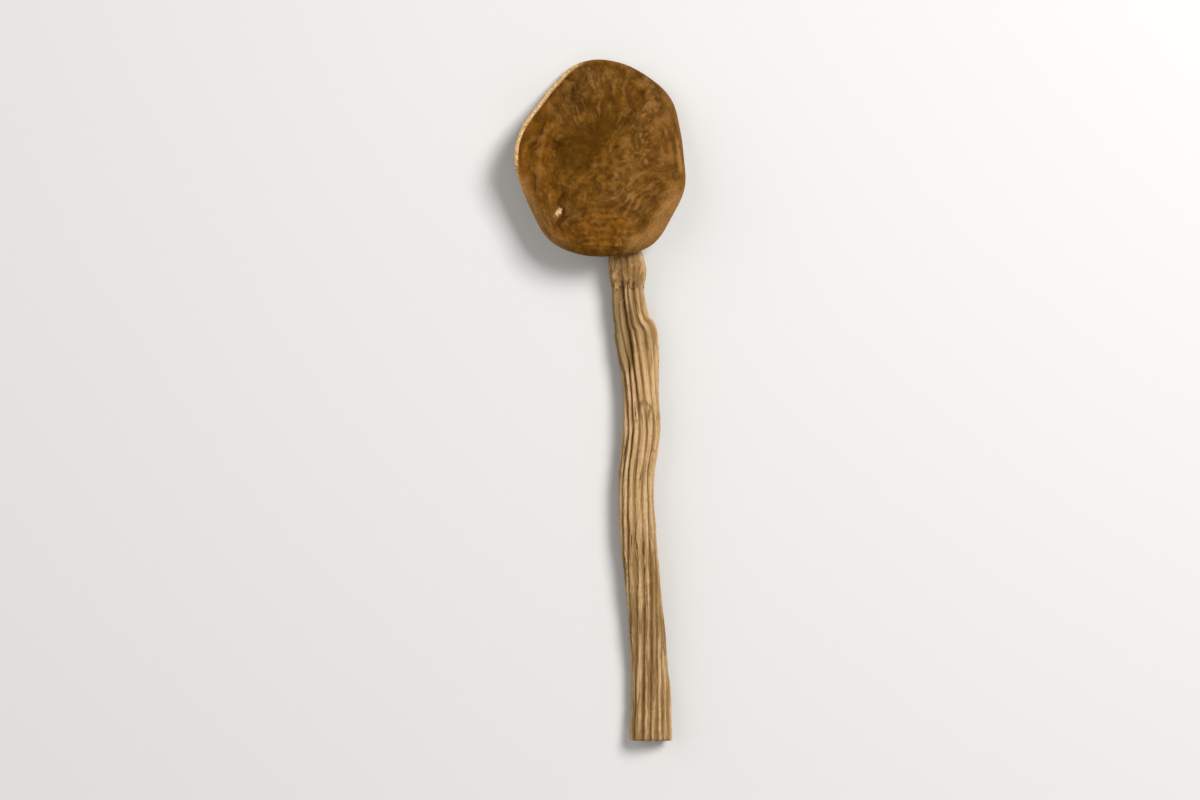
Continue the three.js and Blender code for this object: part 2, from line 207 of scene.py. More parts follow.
# Loose fibres: spans of the rows where they start, of how many rows they reach, how far they rise and how
# far they turn round the stem, and how deep their roots lie and how thick their tips are
FIBRE_STARTS = (4.5, FOOT - 0.3)
FIBRE_REACHES = (0.15, 0.5)
FIBRE_RISES = (0.15, 0.7)
FIBRE_CURLS = (-0.35, 0.35)
FIBRE_ROOT = 0.05
FIBRE_TIP = 0.4
FIBRE_RINGS = 16
FIBRE_COLUMNS = 6

# Ring remnant, placed in rows of the stem
RING_TOP = 5.7
RING_LENGTH = 1.3
RING_SUNK = 0.15
RING_HUG = 0.06
RING_FOLLOW = 0.4
RING_EDGE_FOLLOW = 0.95
RING_EDGE_DIP = 0.16
RING_EDGE_THICKNESS = 0.16
RING_RAGS = 0.1
RING_RIDGE = {"turn": 33, "width": 7, "height": 0.28}
RING_COLUMNS = 288
RING_STATIONS = 34

# Lights: name, place, width, and the power that each takes with its share of it
LIGHTS = (
    ("key light", (0.38, 0.3, 0.6), 0.3, "key_power", 1.0),
    ("fill light", (-0.6, 0.1, 0.5), 0.7, "fill_power", 1.0),
    ("low light", (0.15, -0.7, 0.45), 0.6, "fill_power", 0.6),
)
SENSOR_WIDTH = 36


# Curves and fields

def smooth(values, low, high):
    t = np.clip((values - low) / (high - low), 0, 1)
    return t * t * (3 - 2 * t)


def mix(a, b, t):
    return a + (b - a) * t


def hill(distance, width):
    """A hill of height 1 that is gone about two widths away."""
    return np.exp(-((distance / width) ** 2))


def window(values, low, high, soft):
    """1 between two limits, with soft ends."""
    return smooth(values, low - soft, low + soft) * (1 - smooth(values, high - soft, high + soft))


def sector(angle, low, high, soft):
    """1 between two directions, in degrees, with soft ends."""
    degrees = (np.degrees(angle) - low + 60) % 360 + low - 60
    return window(degrees, low, high, soft)


def degrees_round(angle):
    return np.degrees(angle) % 360


def between(before, a, b, after, t):
    """A smooth curve's value between the middle two of four even values."""
    slope = b - before
    curve = 2 * before - 5 * a + 4 * b - after
    twist = 3 * a - before - 3 * b + after
    return 0.5 * (2 * a + (slope + (curve + twist * t) * t) * t)


def around(values, angle):
    """Even values round a circle, read at any angle."""
    values = np.asarray(values, float)
    n = len(values)
    place = np.asarray(angle) / TAU * n
    i = np.floor(place).astype(int)
    a, b, c, d = (values[(i + step) % n] for step in (-1, 0, 1, 2))
    return between(a, b, c, d, place - i)


def along(rows, place):
    """Rows of values, read between two of them."""
    last = len(rows) - 1
    place = np.asarray(place, float)
    i = np.clip(np.floor(place).astype(int), 0, last - 1)
    a, b, c, d = (rows[np.clip(i + step, 0, last)] for step in (-1, 0, 1, 2))
    return between(a, b, c, d, (place - i)[..., None])


def unit(vectors):
    return vectors / np.linalg.norm(vectors, axis=-1, keepdims=True)


def on_floor(points):
    """Lifts the points that would lie under the floor."""
    points[..., 2] = np.maximum(points[..., 2], 0)
    return points


def turns(columns):
    """Even angles round a circle."""
    return np.arange(columns) * TAU / columns


def seeded_draw(seed):
    """Repeatable draws from 0 to 1."""
    state = seed
    while True:
        state = (state * 1664525 + 1013904223) % 4294967296
        yield state / 4294967296


def cloud(x, y, z, shift=0.0):
    """Smooth noise from -1 to 1, one value for each place."""
    x, y, z = np.broadcast_arrays(x, y, z)
    flat = np.column_stack((x.ravel() + shift, y.ravel() - shift, z.ravel() + 0.5 * shift))
    return np.array([noise.noise(Vector(p)) for p in flat]).reshape(x.shape)


def flat_cloud(x, y, size, level):
    """Noise over the cap with blots of about this size. Each level is another noise."""
    return cloud(x / size, y / size, level)


def round_cloud(angle, height, wide, tall=1.0, shift=0.0):
    """Noise round the cap or the stem. A larger wide changes it more often round about, and a larger tall
    more often with the height."""
    return cloud(wide * np.cos(angle), wide * np.sin(angle), tall * height, shift)


def broken(values, middle, swing):
    """A share from 0 to 1 that comes and goes with a noise."""
    return np.clip(middle + swing * values, 0, 1)


def cell_net(x, y, size, width):
    """A net of thin lines between cells of about this size."""
    x, y = np.broadcast_arrays(x, y)
    flat = np.column_stack((x.ravel(), y.ravel(), np.zeros(x.size))) / size
    spans = np.array([noise.voronoi(Vector(p))[0][:2] for p in flat])
    return hill(spans[:, 1] - spans[:, 0], width).reshape(x.shape)


def weighed(kinds, weights):
    """The sum of the kinds, each taken as strongly as its weight says."""
    return sum(weight * kinds[name] for name, weight in weights.items())


# Meshes

class Skin:
    """A closed skin made of rings of points. Each ring has as many points as the one before it, or half
    as many, or twice as many. A ring may carry one value for each point and each named layer."""

    def __init__(self):
        self.places = []
        self.faces = []
        self.layers = {}
        self.count = 0
        self.first = None
        self.last = None

    def add_points(self, points, **layers):
        start = self.count
        self.places.append(points)
        self.count += len(points)
        for name, values in layers.items():
            self.layers.setdefault(name, []).append(np.broadcast_to(values, len(points)))
        return np.arange(start, self.count)

    def add_ring(self, points, **layers):
        ring = self.add_points(points, **layers)
        if self.last is None:
            self.first = ring
        else:
            self.bridge(self.last, ring)
        self.last = ring

    def bridge(self, a, b):
        steps = min(len(a), len(b))

        def corners(ring):
            wide = len(ring) // steps
            start = np.arange(steps) * wide
            return ring[start], ring[(start + 1) % len(ring)], ring[(start + wide) % len(ring)]

        a0, a1, a2 = corners(a)
        b0, b1, b2 = corners(b)
        if len(a) == len(b):
            made = ((a0, b0, b2, a2),)
        elif len(a) < len(b):
            made = ((a0, b0, b1), (a0, b1, a2), (a2, b1, b2))
        else:
            made = ((a0, b0, a1), (a1, b0, b2), (a1, b2, a2))
        for face in made:
            self.faces += np.column_stack(face).tolist()

    def close(self, ring, point, **layers):
        middle = self.add_points(point.reshape(1, 3), **layers)[0]
        after = np.roll(ring, -1)
        self.faces += [[int(middle), int(a), int(b)] for a, b in zip(ring, after)]

    def close_start(self, point, **layers):
        self.close(self.first, point, **layers)

    def close_end(self, point, **layers):
        """Closes the last ring. The ring that comes next begins another skin in the same mesh."""
        self.close(self.last[::-1], point, **layers)
        self.first = self.last = None


def make_piece(name, skin, material, node=None):
    """Turns a skin into a Blender object in the frame, and stops if it isn't closed."""
    mesh = bpy.data.meshes.new(name)
    places = (np.concatenate(skin.places) + CAP_MIDDLE) * MM
    mesh.from_pydata(places.tolist(), [], skin.faces)
    for layer, parts in skin.layers.items():
        made = mesh.attributes.new(layer, "FLOAT", "POINT")
        made.data.foreach_set("value", np.concatenate(parts).astype(np.float32))
    work = bmesh.new()
    work.from_mesh(mesh)
    bmesh.ops.recalc_face_normals(work, faces=work.faces)
    open_edges = sum(not edge.is_manifold for edge in work.edges)
    if open_edges:
        work.free()
        raise RuntimeError(f"{name} has {open_edges} open edges")
    work.to_mesh(mesh)
    work.free()
    mesh.shade_smooth()
    mesh.materials.append(material)
    piece = bpy.data.objects.new(name, mesh)
    bpy.context.collection.objects.link(piece)
    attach(piece, "root")
    if node:
        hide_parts(node)
    return piece


# Cap

def make_wrinkles():
    """Short ridges and furrows of the shrunken skin, most of them running outwards."""
    draw = seeded_draw(WRINKLE_SEED)
    made = []
    for _ in range(WRINKLES):
        angle = next(draw) * TAU
        radius = mix(*WRINKLE_RADII, next(draw))
        heading = angle + mix(-WRINKLE_LEAN, WRINKLE_LEAN, next(draw))
        made.append({
            "x": radius * math.cos(angle),
            "y": radius * math.sin(angle),
            "turn": heading,
            "length": mix(*WRINKLE_LENGTHS, next(draw)),
            "width": mix(*WRINKLE_WIDTHS, next(draw)),
            "height": WRINKLE_HEIGHT * (1 if next(draw) < RIDGE_CHANCE else -1),
        })
    return made


def turned(x, y, form):
    """How far a place lies from the middle of a long form, along it and across it."""
    dx, dy = x - form["x"], y - form["y"]
    cos, sin = math.cos(form["turn"]), math.sin(form["turn"])
    return dx * cos + dy * sin, dy * cos - dx * sin


def lip_share(x, y):
    """0 in the middle of the lip over the stem and 1 at its edge."""
    return np.hypot((x - LIP["x"]) / LIP["length"], (y - LIP["y"]) / LIP["width"])


def fold_side(x, y):
    """How far a place lies to the right of the soft fold's foot, which runs straight on the stem's side of
    the middle and leans right beyond it."""
    return x - FOLD["x"] - FOLD["lean"] * (np.hypot(y, FOLD["bend"]) + y) / 2


def lip_crease(x, y, width, soft):
    """1 in the crease that runs round the lip's inner edge."""
    return hill(lip_share(x, y) - LIP_CREASE_AT, width) * smooth(y, LIP["y"] - 0.5, LIP["y"] + soft)


def cleft_length(y, soft):
    """1 along the cleft."""
    return window(y, CLEFT["low"], CLEFT["high"], soft)


def shoulder_share(share, angle, soft):
    """1 on the shoulder that runs along the left margin."""
    side = sector(angle, SHOULDER["low"], SHOULDER["high"], soft)
    return hill(share - SHOULDER["at"], SHOULDER["width"]) * side


def hollow_share(x, y):
    """1 in the middle of the cap's hollow, fading outwards."""
    down, across = turned(x, y, HOLLOW)
    return hill(down, HOLLOW["length"]) * hill(across, HOLLOW["width"])


class CapForm:
    """The cap's top and the underside of its flesh, in millimetres."""

    def __init__(self, settings):
        self.top_height = settings.top_height / MM
        self.hollow_depth = settings.hollow_depth / MM
        self.flesh_middle = settings.flesh_middle / MM
        self.flesh_margin = settings.flesh_margin / MM
        self.wrinkles = make_wrinkles()

    def wrinkle_relief(self, x, y):
        height = 0
        for wrinkle in self.wrinkles:
            down, across = turned(x, y, wrinkle)
            hump = hill(down, wrinkle["length"]) * hill(across, wrinkle["width"])
            height = height + wrinkle["height"] * hump
        return height

    def flesh_relief(self, x, y):
        side = fold_side(x, y)
        fold = FOLD["height"] * smooth(side, -FOLD["flank"], FOLD["flank"])
        fold = fold * hill(np.maximum(0, side), FOLD["reach"]) * window(y, FOLD["low"], FOLD["high"], 3)
        bulge = LIP["height"] * np.maximum(0, 1 - lip_share(x, y) ** 2)
        return fold + bulge - self.hollow_depth * hollow_share(x, y)

    def skin_relief(self, x, y, share, angle):
        pit = PIT["depth"] * hill(np.hypot(x - PIT["x"], y - PIT["y"]), PIT["radius"])
        crease = LIP["crease"] * lip_crease(x, y, 0.16, 2)
        cleft = CLEFT["depth"] * hill(x - CLEFT["x"], CLEFT["width"]) * cleft_length(y, 1)
        shoulder = SHOULDER["height"] * shoulder_share(share, angle, 10)
        wrinkles = self.wrinkle_relief(x, y) * (1 - smooth(share, 0.85, 1))
        return shoulder + wrinkles - pit - crease - cleft

    def top(self, share, angle, with_skin=True):
        """Points of the cap's top. The share runs from 0 in the middle to 1 at the edge."""
        radius = around(CAP_RADII, angle)
        curl = np.radians(around(MARGIN_CURL, angle))
        bend = np.sign(curl) * np.maximum(np.abs(curl), 0.01)
        strip = (1 - ROLL_START) * radius
        rolled = np.maximum(0, (share - ROLL_START) / (1 - ROLL_START))
        widest = np.sin(np.minimum(np.abs(bend), math.pi / 2)) / np.abs(bend)
        spread = radius / (ROLL_START * radius + strip * widest)
        flat = np.minimum(share, ROLL_START) * radius
        out = (flat + strip * np.sin(bend * rolled) / bend) * spread
        drop = strip * (1 - np.cos(bend * rolled)) / bend
        x, y = out * np.cos(angle), out * np.sin(angle)
        fall = around(CAP_FALL, angle) * np.abs(share) ** FALL_POWER
        lift = around(MARGIN_LIFT, angle) * rolled ** 2
        z = self.top_height - CAP_TILT * y - fall - drop + lift + self.flesh_relief(x, y)
        if with_skin:
            z = z + self.skin_relief(x, y, share, angle)
        return np.stack(np.broadcast_arrays(x, y, z), axis=-1)

    def frame_at(self, share, angle, with_skin):
        """The point of the top with the directions outwards, round the cap and out of the skin."""
        step = 0.01
        point = self.top(share, angle, with_skin)
        out = self.top(share + step, angle, with_skin) - self.top(share - step, angle, with_skin)
        turn = self.top(share, angle + step, with_skin) - self.top(share, angle - step, with_skin)
        up = unit(np.cross(out, turn))
        return point, unit(out), unit(turn), up

    def under(self, share, angle, deeper=0.0, sideways=0.0):
        """Points of the underside, so far below the flesh and to the side."""
        point, _, turn, up = self.frame_at(share, angle, False)
        flesh = mix(self.flesh_middle, self.flesh_margin, share ** 2)
        depth = np.broadcast_to(flesh + deeper, point.shape[:-1])
        return on_floor(point - up * depth[..., None] + turn * np.asarray(sideways)[..., None])


def lip_arcs(x, y, offset=0.0):
    """1 on the tops of the shallow wrinkles that run across the lip, along the margin. An offset of half a
    wrinkle gives the furrows between them."""
    bowed = y + 0.012 * (x - LIP["x"]) ** 2 + 0.6 * flat_cloud(x, y, 2.4, 27.0)
    wave = 0.5 + 0.5 * np.cos(TAU * (bowed / LIP["pitch"] + offset))
    return wave ** 2 * broken(flat_cloud(x, y, 2.0, 29.0), 0.6, 1.0)


def chip(x, y):
    """1 on the pale flake of torn flesh beside the cleft."""
    ragged = 0.3 * cloud(x * 2.1, y * 2.1, 31.0) + 0.35 * cloud(x * 4.5, y * 4.5, 34.0)
    across = x - CHIP["x"] - 0.4 * (y - CHIP["y"])
    return 1 - smooth(np.hypot(across, 0.7 * (y - CHIP["y"])) / CHIP["radius"] + ragged, 0.6, 1.15)


def margin_band(x, y, angle):
    """The paler bands along the lower left and the lower right of the margin, and the thin one at the
    right."""
    reach = np.hypot(x, y) / around(CAP_RADII, angle)
    lower_left = 0.95 * sector(angle, *LEFT_BAND) * smooth(reach, 0.86, 0.94)
    lower_right = sector(angle, *LOWER_BAND) * smooth(reach, 0.78, 0.9)
    right = sector(angle, *RIGHT_BAND) * hill(reach - 0.945, 0.024)
    return np.maximum(np.maximum(lower_left, lower_right), right)


def skin_sides(x, y, share, angle):
    """How strongly each way of wrinkling holds: outwards on the upper side, round about on the left and the
    right, slanting on the lower side, in domes on the lobe right of the fold, and in arcs on the lip."""
    on_lip = 1 - smooth(lip_share(x, y), 0.75, 1.1)
    upper = sector(angle, *UPPER_SIDE) * smooth(share, 0.2, 0.5)
    left = sector(angle, *LEFT_SIDE) * smooth(share, 0.35, 0.6)
    right = sector(angle, *RIGHT_SIDE) * smooth(share, 0.55, 0.8)
    lower = sector(angle, *LOWER_SIDE) * smooth(share, 0.2, 0.45) * (1 - on_lip)
    lobe = smooth(fold_side(x, y), 0, 3) * (1 - np.maximum(right, lower)) * (1 - smooth(share, 0.85, 0.95))
    return upper, np.maximum(left, right), lower, lobe, on_lip


def skin_detail(x, y, share, angle):
    """Fine relief of the leathery skin, in millimetres, with how deep each point lies in a crease and how
    high it stands on the puckers. The colours fill the creases with painted shade, and give the puckers
    painted shade on their low sides and painted highlights on their tops."""
    bent_x = x + 0.8 * flat_cloud(x, y, 3.1, 1.7)
    bent_y = y + 0.8 * flat_cloud(x, y, 3.1, 8.3)
    drift = 0.5 * flat_cloud(x, y, 1.6, 12.9)
    spread = broken(flat_cloud(x, y, 4.5, 6.1), 0.5, 0.9)
    breaks = broken(flat_cloud(x, y, 1.9, 15.4), 0.55, 1.1)
    upper, ends, lower, lobe, on_lip = skin_sides(x, y, share, angle)
    pebbled = lobe * mix(0.35, 1.0, breaks)
    loose = np.clip(1 - upper - ends - lower, 0, 1)

    cos, sin = np.cos(angle), np.sin(angle)
    outwards = cloud(cos * 12 + drift, sin * 12, share * 5)
    round_about = cloud(share * 13 + drift, cos * 4.2, sin * 4.2, 3.1)
    slanting = cloud((bent_x - bent_y) / 1.1, (bent_x + bent_y) / 3.6, 4.4)
    strokes = hill(outwards, 0.2) * upper + hill(round_about, 0.2) * ends + hill(slanting, 0.22) * lower
    gaps = cell_net(bent_x, bent_y, 1.25, 0.45)
    net = cell_net(bent_x, bent_y, 1.7, 0.24) * spread * breaks * (1 - lobe) + 0.8 * gaps ** 2 * pebbled
    kinds = {"strokes": strokes * breaks, "net": net, "small_net": cell_net(bent_x + 40, bent_y, 0.8, 0.28)}

    ridges = outwards * upper + round_about * ends + slanting * lower
    bumps = flat_cloud(bent_x, bent_y, 0.95, 2.6) * mix(0.4, 1.0, loose) + 0.4 * flat_cloud(x, y, 0.45, 9.9)
    arcs = lip_arcs(x, y)
    puckers = 1.25 * ridges + bumps + 1.1 * (0.65 - gaps) * pebbled + 0.35 * (arcs - 0.4) * on_lip
    relief = PUCKER_HEIGHT * puckers + GRAIN_HEIGHT * flat_cloud(x, y, 0.25, 0.5)
    relief = relief + LIP_WRINKLE_HEIGHT * arcs * on_lip + CHIP["height"] * chip(x, y)
    relief = relief - weighed(kinds, CREASE_DEPTHS)
    # Painted shade: how dark the creases and the furrows between the lip's wrinkles are painted
    deep = np.clip(weighed(kinds, CREASE_SHADES) + 0.5 * lip_arcs(x, y, 0.5) ** 2 * on_lip, 0, 1)
    fade = (1 - smooth(share, 0.95, 1.0)) * (1 - 0.6 * margin_band(x, y, angle))
    calm = 1 - 0.85 * hill(x - CLEFT["x"], 1.2) * cleft_length(y, 1)
    # The last value is the puckers' height, which the colours turn into painted shade on their low sides and
    # painted highlights on their tops
    return relief * fade * calm, deep * fade, broken(puckers * fade, 0.5, 0.6)


def patches(x, y, rows):
    """1 in the middle of the nearest patch, fading outwards unevenly."""
    bent_x = x + 1.1 * flat_cloud(x, y, 2.6, 44.0)
    bent_y = y + 1.1 * flat_cloud(x, y, 2.6, 47.0)
    shares = [hill(np.hypot((bent_x - row[0]) / row[2], (bent_y - row[1]) / row[3]), 1.0) for row in rows]
    return np.max(shares, axis=0)


def hollow_tone_and_shade(x, y):
    """1 where the skin is darkest, in the pit and in the valley that runs from it to the upper right:
    partly the olive tone of the sunken middle, partly painted shade in the hollow."""
    bent = x + 0.8 * flat_cloud(x, y, 3.5, 41.0)
    right, up = bent + 2.2, y - 3.4
    down, across = (right + up) * math.sqrt(0.5), (up - right) * math.sqrt(0.5)
    valley = hill(np.maximum(np.abs(down) - 4.5, 0), 3.8) * hill(across, 3.6)
    pit = hill(np.hypot(bent - PIT["x"] + 0.9, y - PIT["y"]), 4.2)
    return np.clip(0.72 * valley + 0.6 * pit, 0, 1)


def fold_foot_shade(x, y, side):
    """1 at the foot of the folds, in the lip's crease and just inside the right margin, where painted shade
    darkens the skin.
    """
    uneven = broken(flat_cloud(x, y, 2.2, 19.5), 0.6, 0.9)
    fold = hill(side + 1.0, 1.5) * smooth(y, 1, 9) * (1 - smooth(y, 13, 17))
    crease = 0.6 * lip_crease(x, y, 0.12, 2.5)
    reach = np.hypot(x, y) / around(CAP_RADII, np.arctan2(y, x))
    inside_right = 0.8 * hill(reach - 0.9, 0.022) * window(y, -3.5, 4.5, 1.5) * (x > 0)
    return np.clip((fold + crease * smooth(x, -3, 4)) * uneven + inside_right, 0, 1)


def fold_crest_highlight(x, y, side, share, angle):
    """1 on the tops of the folds, on the shoulder and on the lip's wrinkles, where a painted highlight
    lightens the skin.
    """
    fold = hill(side - 2.0, 1.6) * window(y, FOLD["low"] + 2, FOLD["high"] - 2, 3)
    shoulder = shoulder_share(share, angle, 15)
    arcs = lip_arcs(x, y) * (1 - smooth(lip_share(x, y), 0.8, 1.05))
    uneven = broken(flat_cloud(x, y, 1.8, 23.5), 0.55, 0.9)
    return np.clip((0.8 * fold + 0.8 * shoulder + 0.9 * arcs) * uneven, 0, 1)


def cleft_slit_shade(x, y):
    """1 in the crooked slit of the cleft and in the short one that branches off it, which the colour fills
    with painted shade.
    """
    side = x - CLEFT["x"]
    slit = hill(side - 0.45 * np.sin(1.5 * y) + 0.3 * cloud(x, y, 51.0), 0.42) * cleft_length(y, 0.7)
    branch = hill(side - 0.9 * (y + 13.4), 0.4) * window(y, -13.6, -12.0, 0.4)
    return np.clip(1.4 * np.maximum(slit, branch), 0, 1)


def cap_layers(x, y, share, angle, deep=0.0, pucker_shading=0.5, edge=0.0):
    """What the skin's colours go by. The edge is 1 on the rim and the underside."""
    side = fold_side(x, y)
    worn = smooth(share, 0.972, 0.99) * sector(angle, *WORN_EDGE)
    # The crease, pucker, foot, cleft and crest layers carry painted shade and painted highlights; the hollow
    # and patch layers are partly the skin's own tone and partly painted shade and painted light
    return {
        "crease": deep,
        "pucker_shading": pucker_shading,
        "foot": fold_foot_shade(x, y, side),
        "cleft": cleft_slit_shade(x, y),
        "crest": fold_crest_highlight(x, y, side, share, angle),
        "hollow": hollow_tone_and_shade(x, y),
        "dark_patch_and_shade": patches(x, y, DARK_PATCHES_AND_SHADE),
        "pale_patch_and_light": patches(x, y, PALE_PATCHES_AND_LIGHT),
        "bright_side": smooth(side, 0.2, 3.5) * window(y, -14, 13, 4),
        "band": margin_band(x, y, angle),
        "lip": 1 - smooth(lip_share(x, y), 0.85, 1.15),
        "left_side": sector(angle, 140, 250, 25) * smooth(share, 0.4, 0.75),
        "edge": np.maximum(edge, worn) + (1 - edge) * chip(x, y),
    }


def cap_turns(share, halvings):
    """Even angles round the cap, half as many for each halving that the share lies inside."""
    return turns(CAP_COLUMNS >> sum(share < limit for limit in halvings))


def build_cap(settings):
    form = CapForm(settings)
    skin = Skin()

    def add_top():
        shares = np.linspace(TOP_START, ROLL_START, TOP_RINGS, endpoint=False)
        for share in np.concatenate((shares, np.linspace(ROLL_START, 1, ROLL_RINGS))):
            angle = cap_turns(share, TOP_HALVINGS)
            point, _, _, up = form.frame_at(share, angle, True)
            x, y = point[:, 0], point[:, 1]
            relief, deep, pucker_shading = skin_detail(x, y, share, angle)
            layers = cap_layers(x, y, share, angle, deep, pucker_shading)
            skin.add_ring(on_floor(point + up * relief[:, None]), **layers)

    def add_rim():
        angle = turns(CAP_COLUMNS)
        top_edge, out, _, _ = form.frame_at(1.0, angle, True)
        low_edge = form.under(1.0, angle)
        for t in np.linspace(0, 1, RIM_RINGS + 1)[1:]:
            rough = 0.05 * round_cloud(angle, t, 20, 2) * 4 * t * (1 - t)
            swell = 0.1 * np.sin(math.pi * t) + rough
            point = on_floor(mix(top_edge, low_edge, t) + out * swell[:, None])
            skin.add_ring(point, **cap_layers(*point[:, :2].T, 1.0, angle, edge=smooth(t, 0, 0.3)))

    def add_underside():
        for share in np.linspace(*UNDER_SHARES, UNDER_RINGS):
            angle = cap_turns(share, UNDER_HALVINGS)
            point = form.under(share, angle, 0.05 * round_cloud(angle, share, 8, 9))
            skin.add_ring(point, **cap_layers(*point[:, :2].T, share, angle, edge=1))

    add_top()
    add_rim()
    add_underside()
    here = np.zeros(1)
    middle = form.top(0.0, here)[0]
    skin.close_start(middle, **cap_layers(middle[:1], middle[1:2], 0.0, here))
    middle = form.top(0.0, here, False)[0] - (0, 0, form.flesh_middle)
    skin.close_end(middle, **cap_layers(middle[:1], middle[1:2], 0.0, here, edge=1))
    return make_piece("cap", skin, cap_material(settings), "cap")


# Gills

def build_gills(mushroom):
    form = CapForm(mushroom.cap)
    settings = mushroom.gills
    draw = seeded_draw(settings.seed)
    skin = Skin()
    count = MAIN_GILLS * GILLS_PER_MAIN
    depth = settings.depth / MM
    levels = np.linspace(0, 1, GILL_LEVELS)
    half = settings.thickness / MM / 2 * mix(1.25, 0.5, levels)
    for gill in range(count):
        main, is_short = divmod(gill, GILLS_PER_MAIN)
        start = mix(*SHORT_STARTS, next(draw)) if is_short else MAIN_STARTS[main % len(MAIN_STARTS)]
        height = mix(*(SHORT_HEIGHTS if is_short else MAIN_HEIGHTS), next(draw))
        phase = next(draw) * 40
        shares = np.linspace(start, mix(*GILL_ENDS, next(draw)), GILL_RINGS)
        angle = np.full(GILL_RINGS, gill * TAU / count)
        standing = smooth(shares, start, start + 0.08) * (1 - smooth(shares, 0.9, 0.97))
        profile = smooth(shares, 0.16, 0.34) * (1 - smooth(shares, 0.6, 0.95) * 0.9)
        ragged = 1 + 0.14 * cloud(shares * 14, phase, 0.3) + 0.07 * cloud(shares * 45, phase, 7.7)
        crest = np.maximum(depth * height * standing * profile * ragged, 0.02)
        radius = shares * around(CAP_RADII, angle)
        x, y = radius * np.cos(angle), radius * np.sin(angle)
        drift = 0.12 * flat_cloud(x, y, 5, 3.3)
        sway = 0.5 * flat_cloud(x, y, 2.2, 9.1) + 0.22 * flat_cloud(x, y, 0.9, 5.2)
        first = len(skin.places)
        for i, share in enumerate(shares):
            deeper = mix(-GILL_ROOT, crest[i], levels)
            side = drift[i] + sway[i] * levels ** 1.5 * min(1, crest[i])
            one = form.under(share, angle[:GILL_LEVELS], deeper, side - half)
            other = form.under(share, angle[:GILL_LEVELS], deeper, side + half)
            shade = np.concatenate((levels, levels[::-1])) * min(1, crest[i])
            skin.add_ring(np.concatenate((one, other[::-1])), crest=shade)
        last = len(skin.places) - 1
        skin.close_start(skin.places[first].mean(0), crest=0)
        skin.close_end(skin.places[last].mean(0), crest=0)
    return make_piece("gills", skin, gill_material(settings), "cap")


# Stem

def groove_turn(y):
    """Where the groove runs, in degrees round the stem."""
    rows = sorted(GROOVE)
    return np.interp(y, [row[0] for row in rows], [row[1] for row in rows])


def swayed_turn(y, turn):
    """The turn that the ribs and fibres follow, twisted along the stem."""
    twist = 0.35 * np.sin(y / 14) + 0.006 * y
    return turn + RIB_SWAY * np.sin(3 * turn + 0.05 * y + 2.1) + twist


def fibre_detail(y, turn):
    """Fine relief of the fibres, in millimetres, with how deep each point lies, for painted shade in the
    furrows, and where it is slit.
    """
    swayed = swayed_turn(y, turn)
    drift = 0.1 * round_cloud(swayed, y, 2.5, 0.2, 30.0) + 0.04 * round_cloud(swayed, y, 7, 0.6, 33.0)
    swayed = swayed + drift
    kinds = {name: round_cloud(swayed, y, *values) for name, values in FIBRE_NOISES.items()}
    folds = 2 * np.sqrt(np.cos(FINE_FOLDS / 2 * (swayed + 0.16 * kinds["warp"])) ** 2 + 0.03) - 1
    kinds["folds"] = folds * np.clip(0.75 + 0.9 * kinds["fold_height"], 0.1, 1.2)
    kinds["furrow"] = hill(kinds["furrow"], 0.2) * broken(kinds["breaks"], 0.55, 1.2)
    kinds["fine_furrow"] = hill(kinds["fine_furrow"], 0.22)
    kinds["slit"] = smooth(kinds["slit"], 0.34, 0.5) * smooth(kinds["furrow"], 0.1, 0.7)
    kinds["across"] = kinds["across"] * smooth(kinds["wrinkled"], -0.15, 0.25)
    low = 0.36 + weighed(kinds, FIBRE_SHADES) + 0.9 * broken(kinds["folds"], 0.35, -0.65) ** 1.5
    return weighed(kinds, FIBRE_HEIGHTS), np.clip(low, 0, 1), kinds["slit"]


